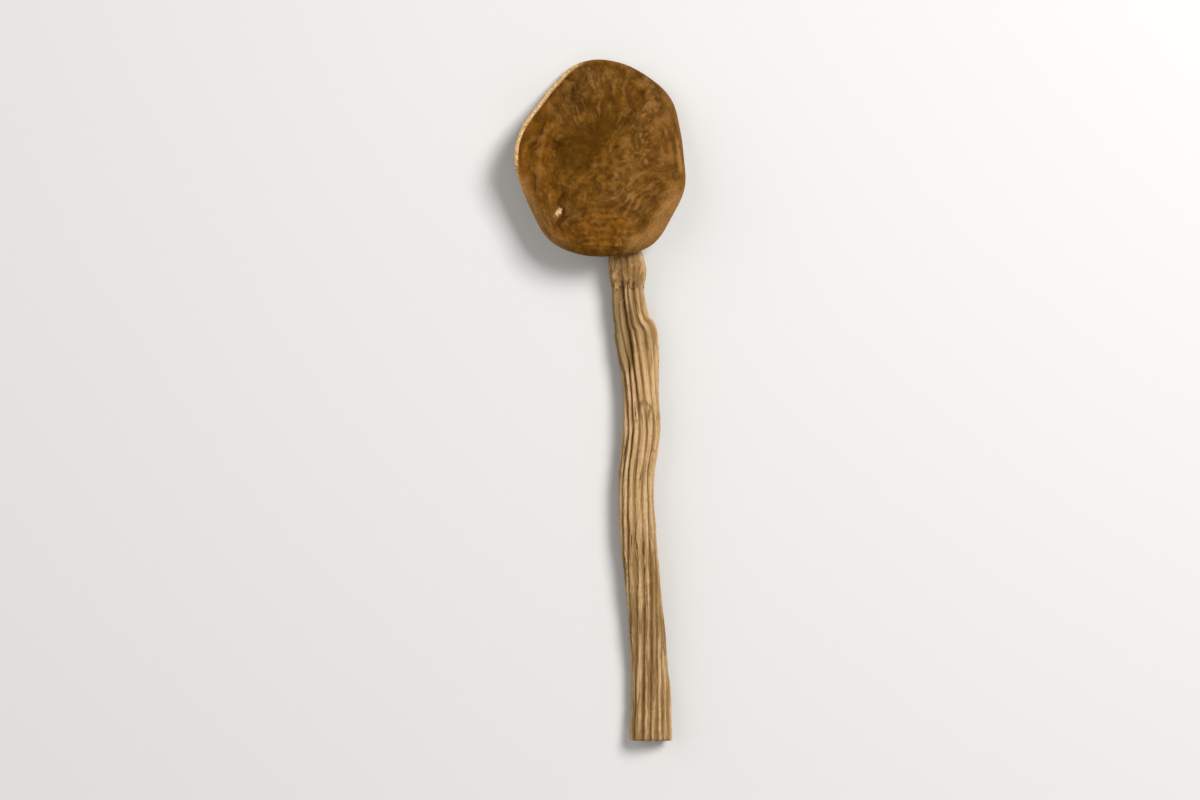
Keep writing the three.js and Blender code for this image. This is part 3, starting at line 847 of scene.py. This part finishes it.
class StemForm:
    """The stem's skin, in millimetres."""

    def __init__(self, settings):
        self.rib_height = settings.rib_height / MM
        self.groove_depth = settings.groove_depth / MM
        self.groove_width = math.degrees(settings.groove_width)

    def groove_share(self, y, turn):
        low, high = GROOVE[-1][0], GROOVE[0][0]
        ends = smooth(y, low - 3, low + 2) * (1 - smooth(y, high, high + 4))
        return hill(degrees_round(turn) - groove_turn(y), self.groove_width) * ends

    def rib_profile(self, y, turn):
        """2 on the round crests of the ribs and nearly 0 in the narrow furrows between them."""
        phase = RIBS / 2 * (swayed_turn(y, turn) - RIB_SPREAD * np.sin(2 * turn))
        return 2 * np.sqrt(np.cos(phase) ** 2 + RIB_ROUNDING)

    def rib_relief(self, y, turn):
        uneven = 1 + RIB_UNEVEN * np.sin(3 * turn + 0.09 * y)
        return self.rib_height * uneven * (self.rib_profile(y, turn) - RIB_MIDDLE)

    def from_knot(self, y, turn):
        """How far a place lies from the knot, round the stem and along it."""
        return np.radians(degrees_round(turn) - KNOT["turn"]) * KNOT["reach"], y - KNOT["y"]

    def relief(self, y, turn):
        swell = WAVE_HEIGHT * np.cos(4 * turn + 0.11 * y)
        knot = KNOT["height"] * hill(np.hypot(*self.from_knot(y, turn)), KNOT["radius"])
        return self.rib_relief(y, turn) + swell + knot - self.groove_depth * self.groove_share(y, turn)

    def knot_ring(self, y, turn):
        """1 on the crease that runs round the knot."""
        across, down = self.from_knot(y, turn)
        down = 0.7 * down
        wander = 0.35 * cloud(across * 1.3, down * 1.3, 6.5)
        arc = smooth(down - 0.6 * across, -0.9, 0.6)
        return hill(np.hypot(across, down) - KNOT["ring"] - wander, 0.25) * arc

    def middle(self, place):
        return along(STEM_ROWS, np.array([place]))[0, :3]

    def point(self, place, turn, lift=0.0, follow=1.0):
        """Points of the skin at places counted in rows and turns round the stem. A lift takes them off
        the skin, and a follow below 1 spans the furrows, as a thin skin that clings to the ribs does."""
        place = np.broadcast_to(np.asarray(place, float), np.shape(turn))
        rows = along(STEM_ROWS, place)
        ahead, behind = np.minimum(place + BEND_REACH, FOOT), np.maximum(place - BEND_REACH, 0)
        down = unit((along(STEM_ROWS, ahead) - along(STEM_ROWS, behind))[..., :3])
        side = unit(np.array((1.0, 0, 0)) - down * down[..., :1])
        up = np.cross(down, side)
        y, half_width, half_thickness = rows[..., 1], rows[..., 3], rows[..., 4]
        out_x, out_y = np.cos(turn) / half_width, np.sin(turn) / half_thickness
        relief = mix(self.rib_height + WAVE_HEIGHT, self.relief(y, turn), follow)
        raised = (relief + lift) / np.hypot(out_x, out_y)
        made = rows[..., :3] + side * (half_width * np.cos(turn) + raised * out_x)[..., None]
        return on_floor(made + up * (half_thickness * np.sin(turn) + raised * out_y)[..., None])

    def layers(self, y, turn, low, slit, cut=0.0):
        """What the stem's colours go by."""
        lobe = smooth(degrees_round(turn) - groove_turn(y), 4, 20) * sector(turn, 90, 270, 10)
        swayed = swayed_turn(y, turn)
        ribs = np.maximum(0, 1 - 0.5 * self.rib_profile(y, turn)) ** 2
        blotches = 1 + 1.5 * round_cloud(swayed, y, 1.1, 0.14, 53.0)
        dull = (0.16 * window(y, -38, -20, 4) + 0.24 * (1 - smooth(y, -82, -70))) * blotches
        return {
            # Painted shade in the furrows between the ribs and fibres and in the knot's crease, with the
            # stem's own duller blotches
            "low": np.clip(1.1 * ribs + 0.55 * low + 0.6 * self.knot_ring(y, turn) + dull, 0, 1),
            "slit": np.clip(slit, 0, 1),
            "groove": self.groove_share(y, turn),
            "lobe": lobe * window(y, -50, -14, 4),
            "cut": cut,
            **grain(swayed, y),
        }


def grain(turn, height):
    """A place in the grain of the fibres, which the materials read."""
    return {"grain_x": 3 * np.cos(turn), "grain_y": 3 * np.sin(turn), "grain_z": height}


def stem_places(start, end, step):
    """Places about this many millimetres apart along the stem."""
    fine = np.linspace(start, end, 4000)
    path = along(STEM_ROWS, fine)[:, :3]
    length = np.concatenate(((0,), np.cumsum(np.linalg.norm(np.diff(path, axis=0), axis=1))))
    return np.interp(np.arange(0, length[-1], step), length, fine)


def build_stem(settings):
    form = StemForm(settings)
    skin = Skin()
    turn = -turns(STEM_COLUMNS)
    bent = np.linspace(0, BENT_ROWS, BENT_RINGS, endpoint=False)
    for place in np.concatenate((bent, stem_places(BENT_ROWS, FOOT - 0.05, STEM_STEP))):
        y = form.middle(place)[1]
        relief, low, slit = fibre_detail(y, turn)
        point = form.point(place, turn, relief - KNOT["crease"] * form.knot_ring(y, turn))
        skin.add_ring(point, **form.layers(y, turn, low, slit))

    centre = form.middle(FOOT)
    relief, low, slit = fibre_detail(centre[1], turn)
    rim = form.point(FOOT, turn, relief - CUT_INSET)
    down = unit(centre - form.middle(FOOT - 0.2))
    for share in CUT_RINGS:
        x, z = rim[:, 0] * share, rim[:, 2] * share
        rough = 0.28 * cloud(x * 1.4, z * 1.4, 2.2) + 0.18 * cloud(x * 4, z * 4, 6.1)
        rough = (rough - CUT_HOLLOW * (1 - share ** 2)) * smooth(1 - share, 0, 0.2)
        point = on_floor(mix(centre, rim, share) + down * rough[:, None])
        skin.add_ring(point, **form.layers(centre[1], turn, low, slit, smooth(1 - share, 0, 0.12)))
    plain = dict.fromkeys(skin.layers, 0)
    skin.close_start(form.middle(0), **plain)
    skin.close_end(centre - down * CUT_MIDDLE, **{**plain, "cut": 1, "grain_z": centre[1]})
    return make_piece("stem", skin, stem_material(settings), "stem")


def build_fibres(mushroom):
    """Thin curled fibres that have come loose from the stem at one end."""
    form = StemForm(mushroom.stem)
    settings = mushroom.fibres
    draw = seeded_draw(settings.seed)
    skin = Skin()
    radius = settings.radius / MM
    steps = np.linspace(0, 1, FIBRE_RINGS)
    spin = turns(FIBRE_COLUMNS)
    for _ in range(settings.count):
        place = mix(*FIBRE_STARTS, next(draw))
        turn = next(draw) * TAU
        reach = mix(*FIBRE_REACHES, next(draw)) * (1 if next(draw) < 0.5 else -1)
        rise = mix(*FIBRE_RISES, next(draw))
        curl = mix(*FIBRE_CURLS, next(draw))
        path = form.point(place + reach * steps, turn + curl * steps ** 2, rise * steps ** 2 - FIBRE_ROOT)
        ahead = unit(np.gradient(path, axis=0))
        side = unit(np.cross(ahead, (0.3, 0.2, 1.0)))
        up = np.cross(side, ahead)
        for i, thick in enumerate(radius * mix(1.0, FIBRE_TIP, steps)):
            circle = np.outer(np.cos(spin), side[i]) + np.outer(np.sin(spin), up[i])
            skin.add_ring(path[i] + thick * circle)
        skin.close_start(path[0])
        skin.close_end(path[-1])
    return make_piece("stem_fibres", skin, fibre_material(settings))


# Ring

def ring_points(form, settings, turn, share, outer):
    """One row of points of the collar, outside or inside, with what its colours go by. The share runs from
    0 at its top to 1 at its ragged lower edge."""
    cos, sin = np.cos(turn), np.sin(turn)
    rags = 1 + RING_RAGS * (np.sin(5 * turn + 1) + 0.6 * np.sin(8 * turn)) * (1 - 0.8 * cos ** 2)
    rags = rags + 0.09 * cloud(cos * 9, sin * 9, 1.1) + 0.08 * cloud(cos * 22, sin * 22, 5.3)
    down = share * 6
    crumples = 0.2 * cloud(cos * 3.4 + 0.25 * down, sin * 3.4, down * 0.45)
    crumples = crumples + 0.08 * round_cloud(turn, down * 0.9 + 4, 8)
    crumples = crumples + 0.03 * round_cloud(turn, down, 19, 2.2)
    crumples = crumples * (1 - 0.6 * smooth(share, 0.7, 1))
    ridge = hill(degrees_round(turn) - RING_RIDGE["turn"] + 8 * share, RING_RIDGE["width"])
    ridge = ridge * (1 - 0.5 * share)

    grown = smooth(share, 0, 0.3)
    base = mix(-RING_SUNK, RING_HUG, smooth(share, 0.1, 0.7)) - RING_EDGE_DIP * smooth(share, 0.75, 1)
    base = base + settings.flare / MM * share ** 2 * (0.15 + 0.85 * np.maximum(0, np.cos(turn - 0.3)))
    base = base + (crumples + RING_RIDGE["height"] * ridge) * grown
    thinned = settings.thickness / MM * mix(0.7, RING_EDGE_THICKNESS, smooth(share, 0.45, 1))
    lift = base + (mix(0.02, thinned, grown) if outer else -0.12 * (1 - share))
    follow = mix(RING_FOLLOW, RING_EDGE_FOLLOW, smooth(share, 0.4, 0.95))
    return form.point(RING_TOP + RING_LENGTH * share * rags, turn, lift, follow), {
        # Painted shade in the low crumples of the collar and painted highlights on the high ones
        "fold": broken(crumples, 0.5, 2.4),
        # The ridge carries a painted highlight as well as its height
        "ridge": ridge,
        "worn": window(degrees_round(turn) + 20 * share, 62, 132, 14),
        **grain(turn, 12 * share),
    }


def build_ring(mushroom):
    form = StemForm(mushroom.stem)
    settings = mushroom.ring
    skin = Skin()
    turn = -turns(RING_COLUMNS)
    stations = np.linspace(0, 1, RING_STATIONS)
    for outer, shares in ((True, stations), (False, stations[::-1])):
        for share in shares:
            point, layers = ring_points(form, settings, turn, share, outer)
            skin.add_ring(point, **layers)
    skin.bridge(skin.last, skin.first)
    return make_piece("ring", skin, ring_material(settings), "ring")


# Materials

def colour(values):
    return (*values[:3], 1.0)


class Nodes:
    """Short ways to lay out a material's nodes."""

    def __init__(self, name):
        self.material = bpy.data.materials.new(name)
        self.material.use_nodes = True
        self.tree = self.material.node_tree
        self.shader = self.tree.nodes["Principled BSDF"]

    def node(self, kind, inputs, **values):
        """Adds a node, sets its values and feeds its inputs, and gives its outputs."""
        made = self.tree.nodes.new(kind)
        for key, value in values.items():
            setattr(made, key, value)
        for key, value in inputs.items():
            self.feed(made.inputs[key], value)
        return made.outputs

    def feed(self, socket, value):
        """Links an output or the layer of this name, or sets a plain value."""
        if isinstance(value, str):
            value = self.node("ShaderNodeAttribute", {}, attribute_name=value)["Fac"]
        if isinstance(value, bpy.types.NodeSocket):
            self.tree.links.new(value, socket)
        else:
            socket.default_value = value

    def times(self, a, b):
        return self.node("ShaderNodeMath", {0: a, 1: b}, operation="MULTIPLY")[0]

    def stretched(self, vector, scale):
        return self.node("ShaderNodeVectorMath", {0: vector, 1: scale}, operation="MULTIPLY")[0]

    def place(self):
        return self.node("ShaderNodeTexCoord", {})["Object"]

    def place_mm(self):
        return self.stretched(self.place(), (1 / MM, 1 / MM, 1 / MM))

    def noise(self, vector, scale, detail=3.0, roughness=0.5, distortion=0.0):
        inputs = {"Scale": scale, "Detail": detail, "Roughness": roughness, "Distortion": distortion}
        return self.node("ShaderNodeTexNoise", {"Vector": vector, **inputs})["Fac"]

    def grain_noise(self, wide, tall, detail=4, roughness=0.65, distortion=0.0):
        """Noise in the grain of the fibres, with blots that get narrower with wide and shorter with tall."""
        place = self.node("ShaderNodeCombineXYZ", {"X": "grain_x", "Y": "grain_y", "Z": "grain_z"})[0]
        return self.noise(self.stretched(place, (wide, wide, tall)), 1.0, detail, roughness, distortion)

    def span(self, value, low, high, out_low=0.0, out_high=1.0):
        """Turns values from low to high into others, with soft ends."""
        inputs = {"Value": value, "From Min": low, "From Max": high, "To Min": out_low, "To Max": out_high}
        return self.node("ShaderNodeMapRange", inputs, interpolation_type="SMOOTHSTEP")[0]

    def blend(self, share, a, b):
        a, b = (c if isinstance(c, bpy.types.NodeSocket) else colour(c) for c in (a, b))
        return self.node("ShaderNodeMix", {0: share, 6: a, 7: b}, data_type="RGBA")[2]

    def coat(self, base, layer, share, paint):
        """Lays paint on the base where the layer says, as strongly as the share says."""
        return self.blend(self.times(layer, share), base, paint)

    def cover(self, base, value, low, high, share, paint):
        """Lays paint on the base where the value is past low, up to this share at high."""
        return self.blend(self.span(value, low, high, 0.0, share), base, paint)

    def bump(self, height, strength, distance):
        """Roughens the surface with bumps that reach so many millimetres."""
        inputs = {"Height": height, "Strength": strength, "Distance": distance * MM}
        self.feed(self.shader.inputs["Normal"], self.node("ShaderNodeBump", inputs)[0])

    def finish(self, base, roughness, specular):
        for key, value in (("Base Color", base), ("Roughness", roughness), ("Specular IOR Level", specular)):
            self.feed(self.shader.inputs[key], value)
        return self.material


def cap_material(settings):
    m = Nodes("cap skin")
    place = m.place_mm()
    mottle = m.noise(place, 0.55, 4, 0.6)
    fine = m.noise(place, 2.6, 4, 0.65)
    soft = m.noise(place, 0.16, 2, 0.5)
    base = m.blend(m.span(mottle, 0.35, 0.65), settings.dark_skin, settings.skin)
    for layer, share, paint in (
        ("left_side", m.span(soft, 0.3, 0.6, 0.4, 0.9), settings.warm_skin),
        ("bright_side", m.span(mottle, 0.3, 0.6, 0.4, 0.9), settings.pale_skin),
        ("lip", 0.8, settings.warm_skin),
        # The dark and pale patches are partly the skin's own mottles and partly painted shade and painted
        # light
        ("dark_patch_and_shade", m.span(mottle, 0.3, 0.6, 0.75, 0.3), settings.hollow_skin),
        ("pale_patch_and_light", m.span(mottle, 0.3, 0.6, 0.2, 0.5), settings.band),
    ):
        base = m.coat(base, layer, share, paint)
    # Partly the hollow's own olive tone, partly painted shade in the sunken middle
    sunken = m.cover(settings.hollow_skin, mottle, 0.62, 0.4, 0.5, settings.crease)
    base = m.cover(base, "hollow", 0.15, 0.8, 0.92, sunken)
    for layer, share, paint in (
        ("band", m.span(fine, 0.3, 0.6, 0.5, 0.9), settings.band),
        # Painted shade at the foot of the folds, in the lip's crease and inside the right margin
        ("foot", m.span(mottle, 0.35, 0.65, 0.8, 0.5), settings.crease),
        # Painted highlight on the tops of the folds, the shoulder and the lip's wrinkles
        ("crest", m.span(mottle, 0.35, 0.65, 0.08, 0.4), settings.band),
    ):
        base = m.coat(base, layer, share, paint)
    # Painted shade on the low sides of the puckers, then painted highlights on their tops, held back in the
    # hollow
    base = m.cover(base, "pucker_shading", 0.5, 0.1, 0.5, settings.crease)
    high = m.span("pucker_shading", 0.55, 0.95, 0.0, 0.4)
    base = m.blend(m.times(high, m.span("hollow", 0.2, 0.7, 1.0, 0.3)), base, settings.band)
    # Painted shade in the creases
    base = m.coat(base, "crease", 0.72, settings.crease)
    base = m.cover(base, fine, 0.5, 0.3, 0.35, settings.crease)
    # Painted shade in the cleft's slit
    base = m.coat(base, "cleft", 0.9, settings.crease)
    flesh = m.blend(m.span(fine, 0.35, 0.65), settings.flesh, settings.pale_flesh)
    base = m.blend("edge", base, flesh)
    rough = m.span(m.noise(place, 1.3, 3), 0.3, 0.7, 0.5, 0.7)
    rough = m.node("ShaderNodeMath", {0: rough, 1: m.times("edge", 0.15)}, operation="ADD")[0]
    m.bump(m.noise(place, 3.2, 5, 0.6), strength=0.5, distance=0.18)
    return m.finish(base, rough, specular=0.02)


def gill_material(settings):
    m = Nodes("gills")
    place = m.place_mm()
    mottle = m.noise(place, 0.35, 3, 0.6)
    fine = m.noise(place, 2.5, 3, 0.6)
    base = m.blend(m.span(mottle, 0.35, 0.65), settings.shade, settings.tone)
    base = m.cover(base, "crest", 0.1, 0.9, 0.75, settings.edge)
    base = m.cover(base, fine, 0.45, 0.75, 0.4, settings.shade)
    m.bump(fine, strength=0.4, distance=0.1)
    return m.finish(base, m.span(mottle, 0.3, 0.7, 0.6, 0.8), specular=0.25)


def stem_material(settings):
    m = Nodes("stem fibre")
    streaks = m.grain_noise(1.6, 0.12, distortion=0.4)
    threads = m.grain_noise(5.5, 0.6)
    mottle = m.grain_noise(0.4, 0.09, 3, 0.6)
    specks = m.grain_noise(3.2, 1.5, 3, 0.6)
    base = m.blend(m.span(streaks, 0.3, 0.7), settings.tan, settings.cream)
    for value, low, high, share, paint in (
        (mottle, 0.45, 0.7, 0.6, settings.pink),
        (mottle, 0.42, 0.25, 0.5, settings.grey),
        # Painted shade in the furrows and the knot's crease, and the stem's own duller blotches
        ("low", 0.3, 0.95, 0.85, settings.furrow),
        (threads, 0.5, 0.8, 0.5, settings.furrow),
        (threads, 0.5, 0.25, 0.4, settings.cream),
        (specks, 0.56, 0.72, 0.5, settings.furrow),
    ):
        base = m.cover(base, value, low, high, share, paint)
    base = m.coat(base, "lobe", 0.88, settings.grey)
    # Painted shade in the long groove
    base = m.cover(base, "groove", 0.1, 0.9, 0.85, settings.groove)
    # Painted shade in the narrow slits
    base = m.coat(base, "slit", 0.9, settings.slit)
    cut = m.span(m.noise(m.place_mm(), 2.2, 4, 0.7), 0.35, 0.65)
    base = m.blend("cut", base, m.blend(cut, settings.furrow, settings.tan))
    m.bump(threads, strength=0.6, distance=0.15)
    return m.finish(base, m.span(streaks, 0.3, 0.7, 0.62, 0.8), specular=0.1)


def fibre_material(settings):
    m = Nodes("loose fibre")
    place = m.place_mm()
    base = m.blend(m.span(m.noise(place, 1.1, 2), 0.35, 0.65), settings.dark, settings.pale)
    m.bump(m.noise(place, 6, 2), strength=0.3, distance=0.05)
    return m.finish(base, roughness=0.75, specular=0.3)


def ring_material(settings):
    m = Nodes("ring skin")
    streaks = m.grain_noise(2.2, 0.5, distortion=0.6)
    spots = m.grain_noise(1.1, 0.6)
    base = m.blend(m.span(streaks, 0.35, 0.65), settings.shade, settings.tone)
    # Painted shade in the low crumples and painted highlights on the high ones
    base = m.cover(base, "fold", 0.45, 0.05, 0.7, settings.shade)
    base = m.cover(base, "fold", 0.6, 1.0, 0.5, settings.edge)
    base = m.coat(base, "worn", m.span(spots, 0.3, 0.6, 0.1, 0.65), settings.shade)
    # Painted highlight along the ridge
    base = m.coat(base, "ridge", 0.9, settings.edge)
    base = m.cover(base, spots, 0.55, 0.72, 0.5, settings.shade)
    base = m.cover(base, streaks, 0.6, 0.8, 0.5, settings.edge)
    m.bump(streaks, strength=0.5, distance=0.2)
    return m.finish(base, m.span(spots, 0.3, 0.7, 0.55, 0.75), specular=0.1)


def floor_material(settings):
    m = Nodes("floor")
    place = m.place()
    base = m.blend(m.noise(place, 6, 2), settings.floor, tuple(c * 0.985 for c in settings.floor))
    m.bump(m.noise(place, 900, 2), strength=0.05, distance=0.1)
    return m.finish(base, roughness=0.8, specular=0.2)


# Stage

def build_stage(settings):
    scene = bpy.context.scene
    link = bpy.context.collection.objects.link
    camera = bpy.data.objects.new("camera", bpy.data.cameras.new("camera"))
    link(camera)
    camera.location = (0, 0, settings.camera_height)
    camera.data.sensor_width = SENSOR_WIDTH
    camera.data.lens = settings.lens
    scene.camera = camera

    mesh = bpy.data.meshes.new("floor")
    reach = settings.floor_reach
    corners = [(-reach, -reach, 0), (reach, -reach, 0), (reach, reach, 0), (-reach, reach, 0)]
    mesh.from_pydata(corners, [], [(0, 1, 2, 3)])
    mesh.materials.append(floor_material(settings))
    floor = bpy.data.objects.new("floor", mesh)
    link(floor)

    for name, place, width, power, share in LIGHTS:
        data = bpy.data.lights.new(name, "AREA")
        data.shape = "SQUARE"
        data.size = width
        data.energy = getattr(settings, power) * share
        lamp = bpy.data.objects.new(name, data)
        lamp.location = place
        lamp.rotation_euler = (-Vector(place)).to_track_quat("-Z", "Y").to_euler()
        link(lamp)

    world = bpy.data.worlds.new("studio")
    world.use_nodes = True
    back = world.node_tree.nodes["Background"]
    back.inputs["Color"].default_value = colour(settings.sky)
    back.inputs["Strength"].default_value = settings.sky_strength
    scene.world = world
    scene.view_settings.view_transform = "Standard"


# Settings

def setting(kind, name, description, default, **limits):
    return kind(name=name, description=description, default=default, **limits)


def number(*words, **limits):
    return setting(FloatProperty, *words, **limits)


def whole(*words):
    return setting(IntProperty, *words, min=1)


def size(*words):
    return number(*words, min=0, unit="LENGTH")


def tint(*words):
    return setting(FloatVectorProperty, *words, min=0, max=1, subtype="COLOR")


class CapSettings(bpy.types.PropertyGroup):
    top_height: size("Top height", "Height of the cap's middle, before its hollow", 11.3 * MM)
    hollow_depth: size("Hollow depth", "How far the middle has sunk", 2.0 * MM)
    flesh_middle: size("Flesh in the middle", "Thickness of the flesh in the middle", 2.0 * MM)
    flesh_margin: size("Flesh at the margin", "Thickness of the flesh at the margin", 0.75 * MM)
    skin: tint("Skin", "Brown of the skin", (0.205, 0.087, 0.01))
    dark_skin: tint("Dark skin", "Darker mottles of the skin", (0.115, 0.047, 0.004))
    warm_skin: tint("Warm skin", "Orange brown of the left side and of the lip", (0.215, 0.079, 0.007))
    pale_skin: tint("Pale skin", "Pinkish tan of the right side", (0.205, 0.09, 0.016))
    hollow_skin: tint("Hollow", "Olive brown of the sunken middle", (0.086, 0.034, 0.001))
    # The bands tint also serves as the painted highlight on the tops of the puckers and of the folds
    band: tint("Bands", "Paler bands of the margin and tops of the puckers", (0.3, 0.15, 0.045))
    # The creases tint is painted shade in the creases, the hollow, the fold feet, the cleft's slit and the
    # low sides of the puckers; it also darkens the skin with a fine noise
    crease: tint("Creases", "Bottom of the fine creases", (0.055, 0.02, 0.002))
    flesh: tint("Flesh", "Dried flesh between the gills", (0.3, 0.17, 0.06))
    pale_flesh: tint("Pale flesh", "Cut edge of the margin", (0.7, 0.47, 0.24))


class GillSettings(bpy.types.PropertyGroup):
    depth: size("Depth", "Depth of the longest gills", 2.0 * MM)
    thickness: size("Thickness", "Thickness of a gill", 0.24 * MM)
    seed: whole("Seed", "Draws the lengths and waves of the gills", 11)
    tone: tint("Gills", "Cream tan of the gills", (0.42, 0.25, 0.1))
    shade: tint("Shade", "Darker patches of the gills", (0.24, 0.13, 0.04))
    edge: tint("Free edge", "Free edge of the gills", (0.5, 0.32, 0.14))


class StemSettings(bpy.types.PropertyGroup):
    rib_height: size("Rib height", "Height of the main ribs", 0.36 * MM)
    groove_depth: size("Groove depth", "Depth of the long groove", 0.75 * MM)
    groove_width: number("Groove width", "Width of the long groove", math.radians(14), subtype="ANGLE")
    cream: tint("Cream", "Top of the ribs", (0.565, 0.38, 0.195))
    tan: tint("Tan", "Flanks of the ribs", (0.43, 0.265, 0.112))
    # The furrows tint is also painted shade in the furrows, and the groove and slits tints are painted shade
    # in those recesses
    furrow: tint("Furrows", "Bottom of the furrows", (0.195, 0.103, 0.027))
    groove: tint("Groove", "The long groove", (0.14, 0.073, 0.017))
    slit: tint("Slits", "Dark slits", (0.07, 0.03, 0.005))
    pink: tint("Pink", "Pinkish cream patches", (0.62, 0.4, 0.245))
    grey: tint("Grey", "Duller patches, and the lobe on the left of the groove", (0.245, 0.158, 0.066))


class FibreSettings(bpy.types.PropertyGroup):
    count: whole("Count", "Number of loose fibres", 44)
    radius: size("Radius", "Radius of a loose fibre", 0.07 * MM)
    seed: whole("Seed", "Draws the places of the loose fibres", 5)
    pale: tint("Pale", "Pale fibres", (0.58, 0.39, 0.19))
    dark: tint("Dark", "Dark fibres", (0.3, 0.17, 0.06))


class RingSettings(bpy.types.PropertyGroup):
    thickness: size("Thickness", "Thickness of the collar", 0.6 * MM)
    flare: size("Flare", "How far its lower edge stands off", 0.06 * MM)
    tone: tint("Skin", "Tan of the collar", (0.42, 0.25, 0.102))
    # The shade tint is also painted shade in the collar's folds, and the folds tint painted highlight on
    # their tops and along the ridge
    shade: tint("Shade", "Folds of the collar", (0.17, 0.09, 0.027))
    edge: tint("Folds", "Pale tops of the collar's folds", (0.54, 0.36, 0.18))


class StageSettings(bpy.types.PropertyGroup):
    camera_height: size("Camera height", "Height of the camera above the floor", 0.575)
    lens: number("Lens", "Focal length", 85, min=1, unit="CAMERA")
    floor_reach: size("Floor", "Half the width of the floor", 1.5)
    key_power: number("Key light", "Power of the key light", 6.6, min=0, unit="POWER")
    fill_power: number("Fill light", "Power of the fill light", 2.1, min=0, unit="POWER")
    sky_strength: number("Sky", "Strength of the even light", 0.26, min=0)
    floor: tint("Floor", "Pale floor", (0.64, 0.63, 0.61))
    sky: tint("Sky colour", "Colour of the even light", (1.0, 0.99, 0.97))


class MushroomSettings(bpy.types.PropertyGroup):
    cap: PointerProperty(type=CapSettings)
    gills: PointerProperty(type=GillSettings)
    stem: PointerProperty(type=StemSettings)
    fibres: PointerProperty(type=FibreSettings)
    ring: PointerProperty(type=RingSettings)
    stage: PointerProperty(type=StageSettings)


# Operators

class MUSHROOM_OT_stage(bpy.types.Operator):
    """Set the camera, the pale floor and the soft lights"""
    bl_idname = "mushroom.stage"
    bl_label = "Stage"

    def execute(self, context):
        build_stage(context.scene.mushroom.stage)
        return {"FINISHED"}


class MUSHROOM_OT_cap(bpy.types.Operator):
    """Build the leathery cap with its curled margin"""
    bl_idname = "mushroom.cap"
    bl_label = "Cap"

    def execute(self, context):
        build_cap(context.scene.mushroom.cap)
        return {"FINISHED"}


class MUSHROOM_OT_gills(bpy.types.Operator):
    """Build the crinkled gills under the cap"""
    bl_idname = "mushroom.gills"
    bl_label = "Gills"

    def execute(self, context):
        build_gills(context.scene.mushroom)
        return {"FINISHED"}


class MUSHROOM_OT_stem(bpy.types.Operator):
    """Build the ribbed and grooved stem"""
    bl_idname = "mushroom.stem"
    bl_label = "Stem"

    def execute(self, context):
        build_stem(context.scene.mushroom.stem)
        return {"FINISHED"}


class MUSHROOM_OT_fibres(bpy.types.Operator):
    """Build the thin fibres that come loose from the stem"""
    bl_idname = "mushroom.fibres"
    bl_label = "Loose fibres"

    def execute(self, context):
        build_fibres(context.scene.mushroom)
        return {"FINISHED"}


class MUSHROOM_OT_ring(bpy.types.Operator):
    """Build the shrivelled ring on the stem"""
    bl_idname = "mushroom.ring"
    bl_label = "Ring"

    def execute(self, context):
        build_ring(context.scene.mushroom)
        return {"FINISHED"}


OPERATORS = (
    MUSHROOM_OT_stage, MUSHROOM_OT_cap, MUSHROOM_OT_gills,
    MUSHROOM_OT_stem, MUSHROOM_OT_fibres, MUSHROOM_OT_ring,
)


class MUSHROOM_PT_panel(bpy.types.Panel):
    """Lists the pieces of the mushroom"""
    bl_label = "Dried mushroom"
    bl_idname = "MUSHROOM_PT_panel"
    bl_space_type = "VIEW_3D"
    bl_region_type = "UI"
    bl_category = "Mushroom"

    def draw(self, context):
        for operator in OPERATORS:
            self.layout.operator(operator.bl_idname)
        for name in MushroomSettings.__annotations__:
            group = getattr(context.scene.mushroom, name)
            box = self.layout.box()
            box.label(text=name.capitalize())
            for key in group.__annotations__:
                box.prop(group, key)


CLASSES = (
    CapSettings, GillSettings, StemSettings, FibreSettings, RingSettings, StageSettings, MushroomSettings,
    *OPERATORS, MUSHROOM_PT_panel,
)


def register():
    for made in CLASSES:
        bpy.utils.register_class(made)
    bpy.types.Scene.mushroom = PointerProperty(type=MushroomSettings)


def unregister():
    del bpy.types.Scene.mushroom
    for made in reversed(CLASSES):
        bpy.utils.unregister_class(made)


def main():
    register()
    bpy.ops.mushroom.stage()
    bpy.ops.mushroom.cap()
    bpy.ops.mushroom.gills()
    bpy.ops.mushroom.stem()
    bpy.ops.mushroom.fibres()
    bpy.ops.mushroom.ring()
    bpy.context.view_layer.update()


if __name__ == "__main__":
    main()
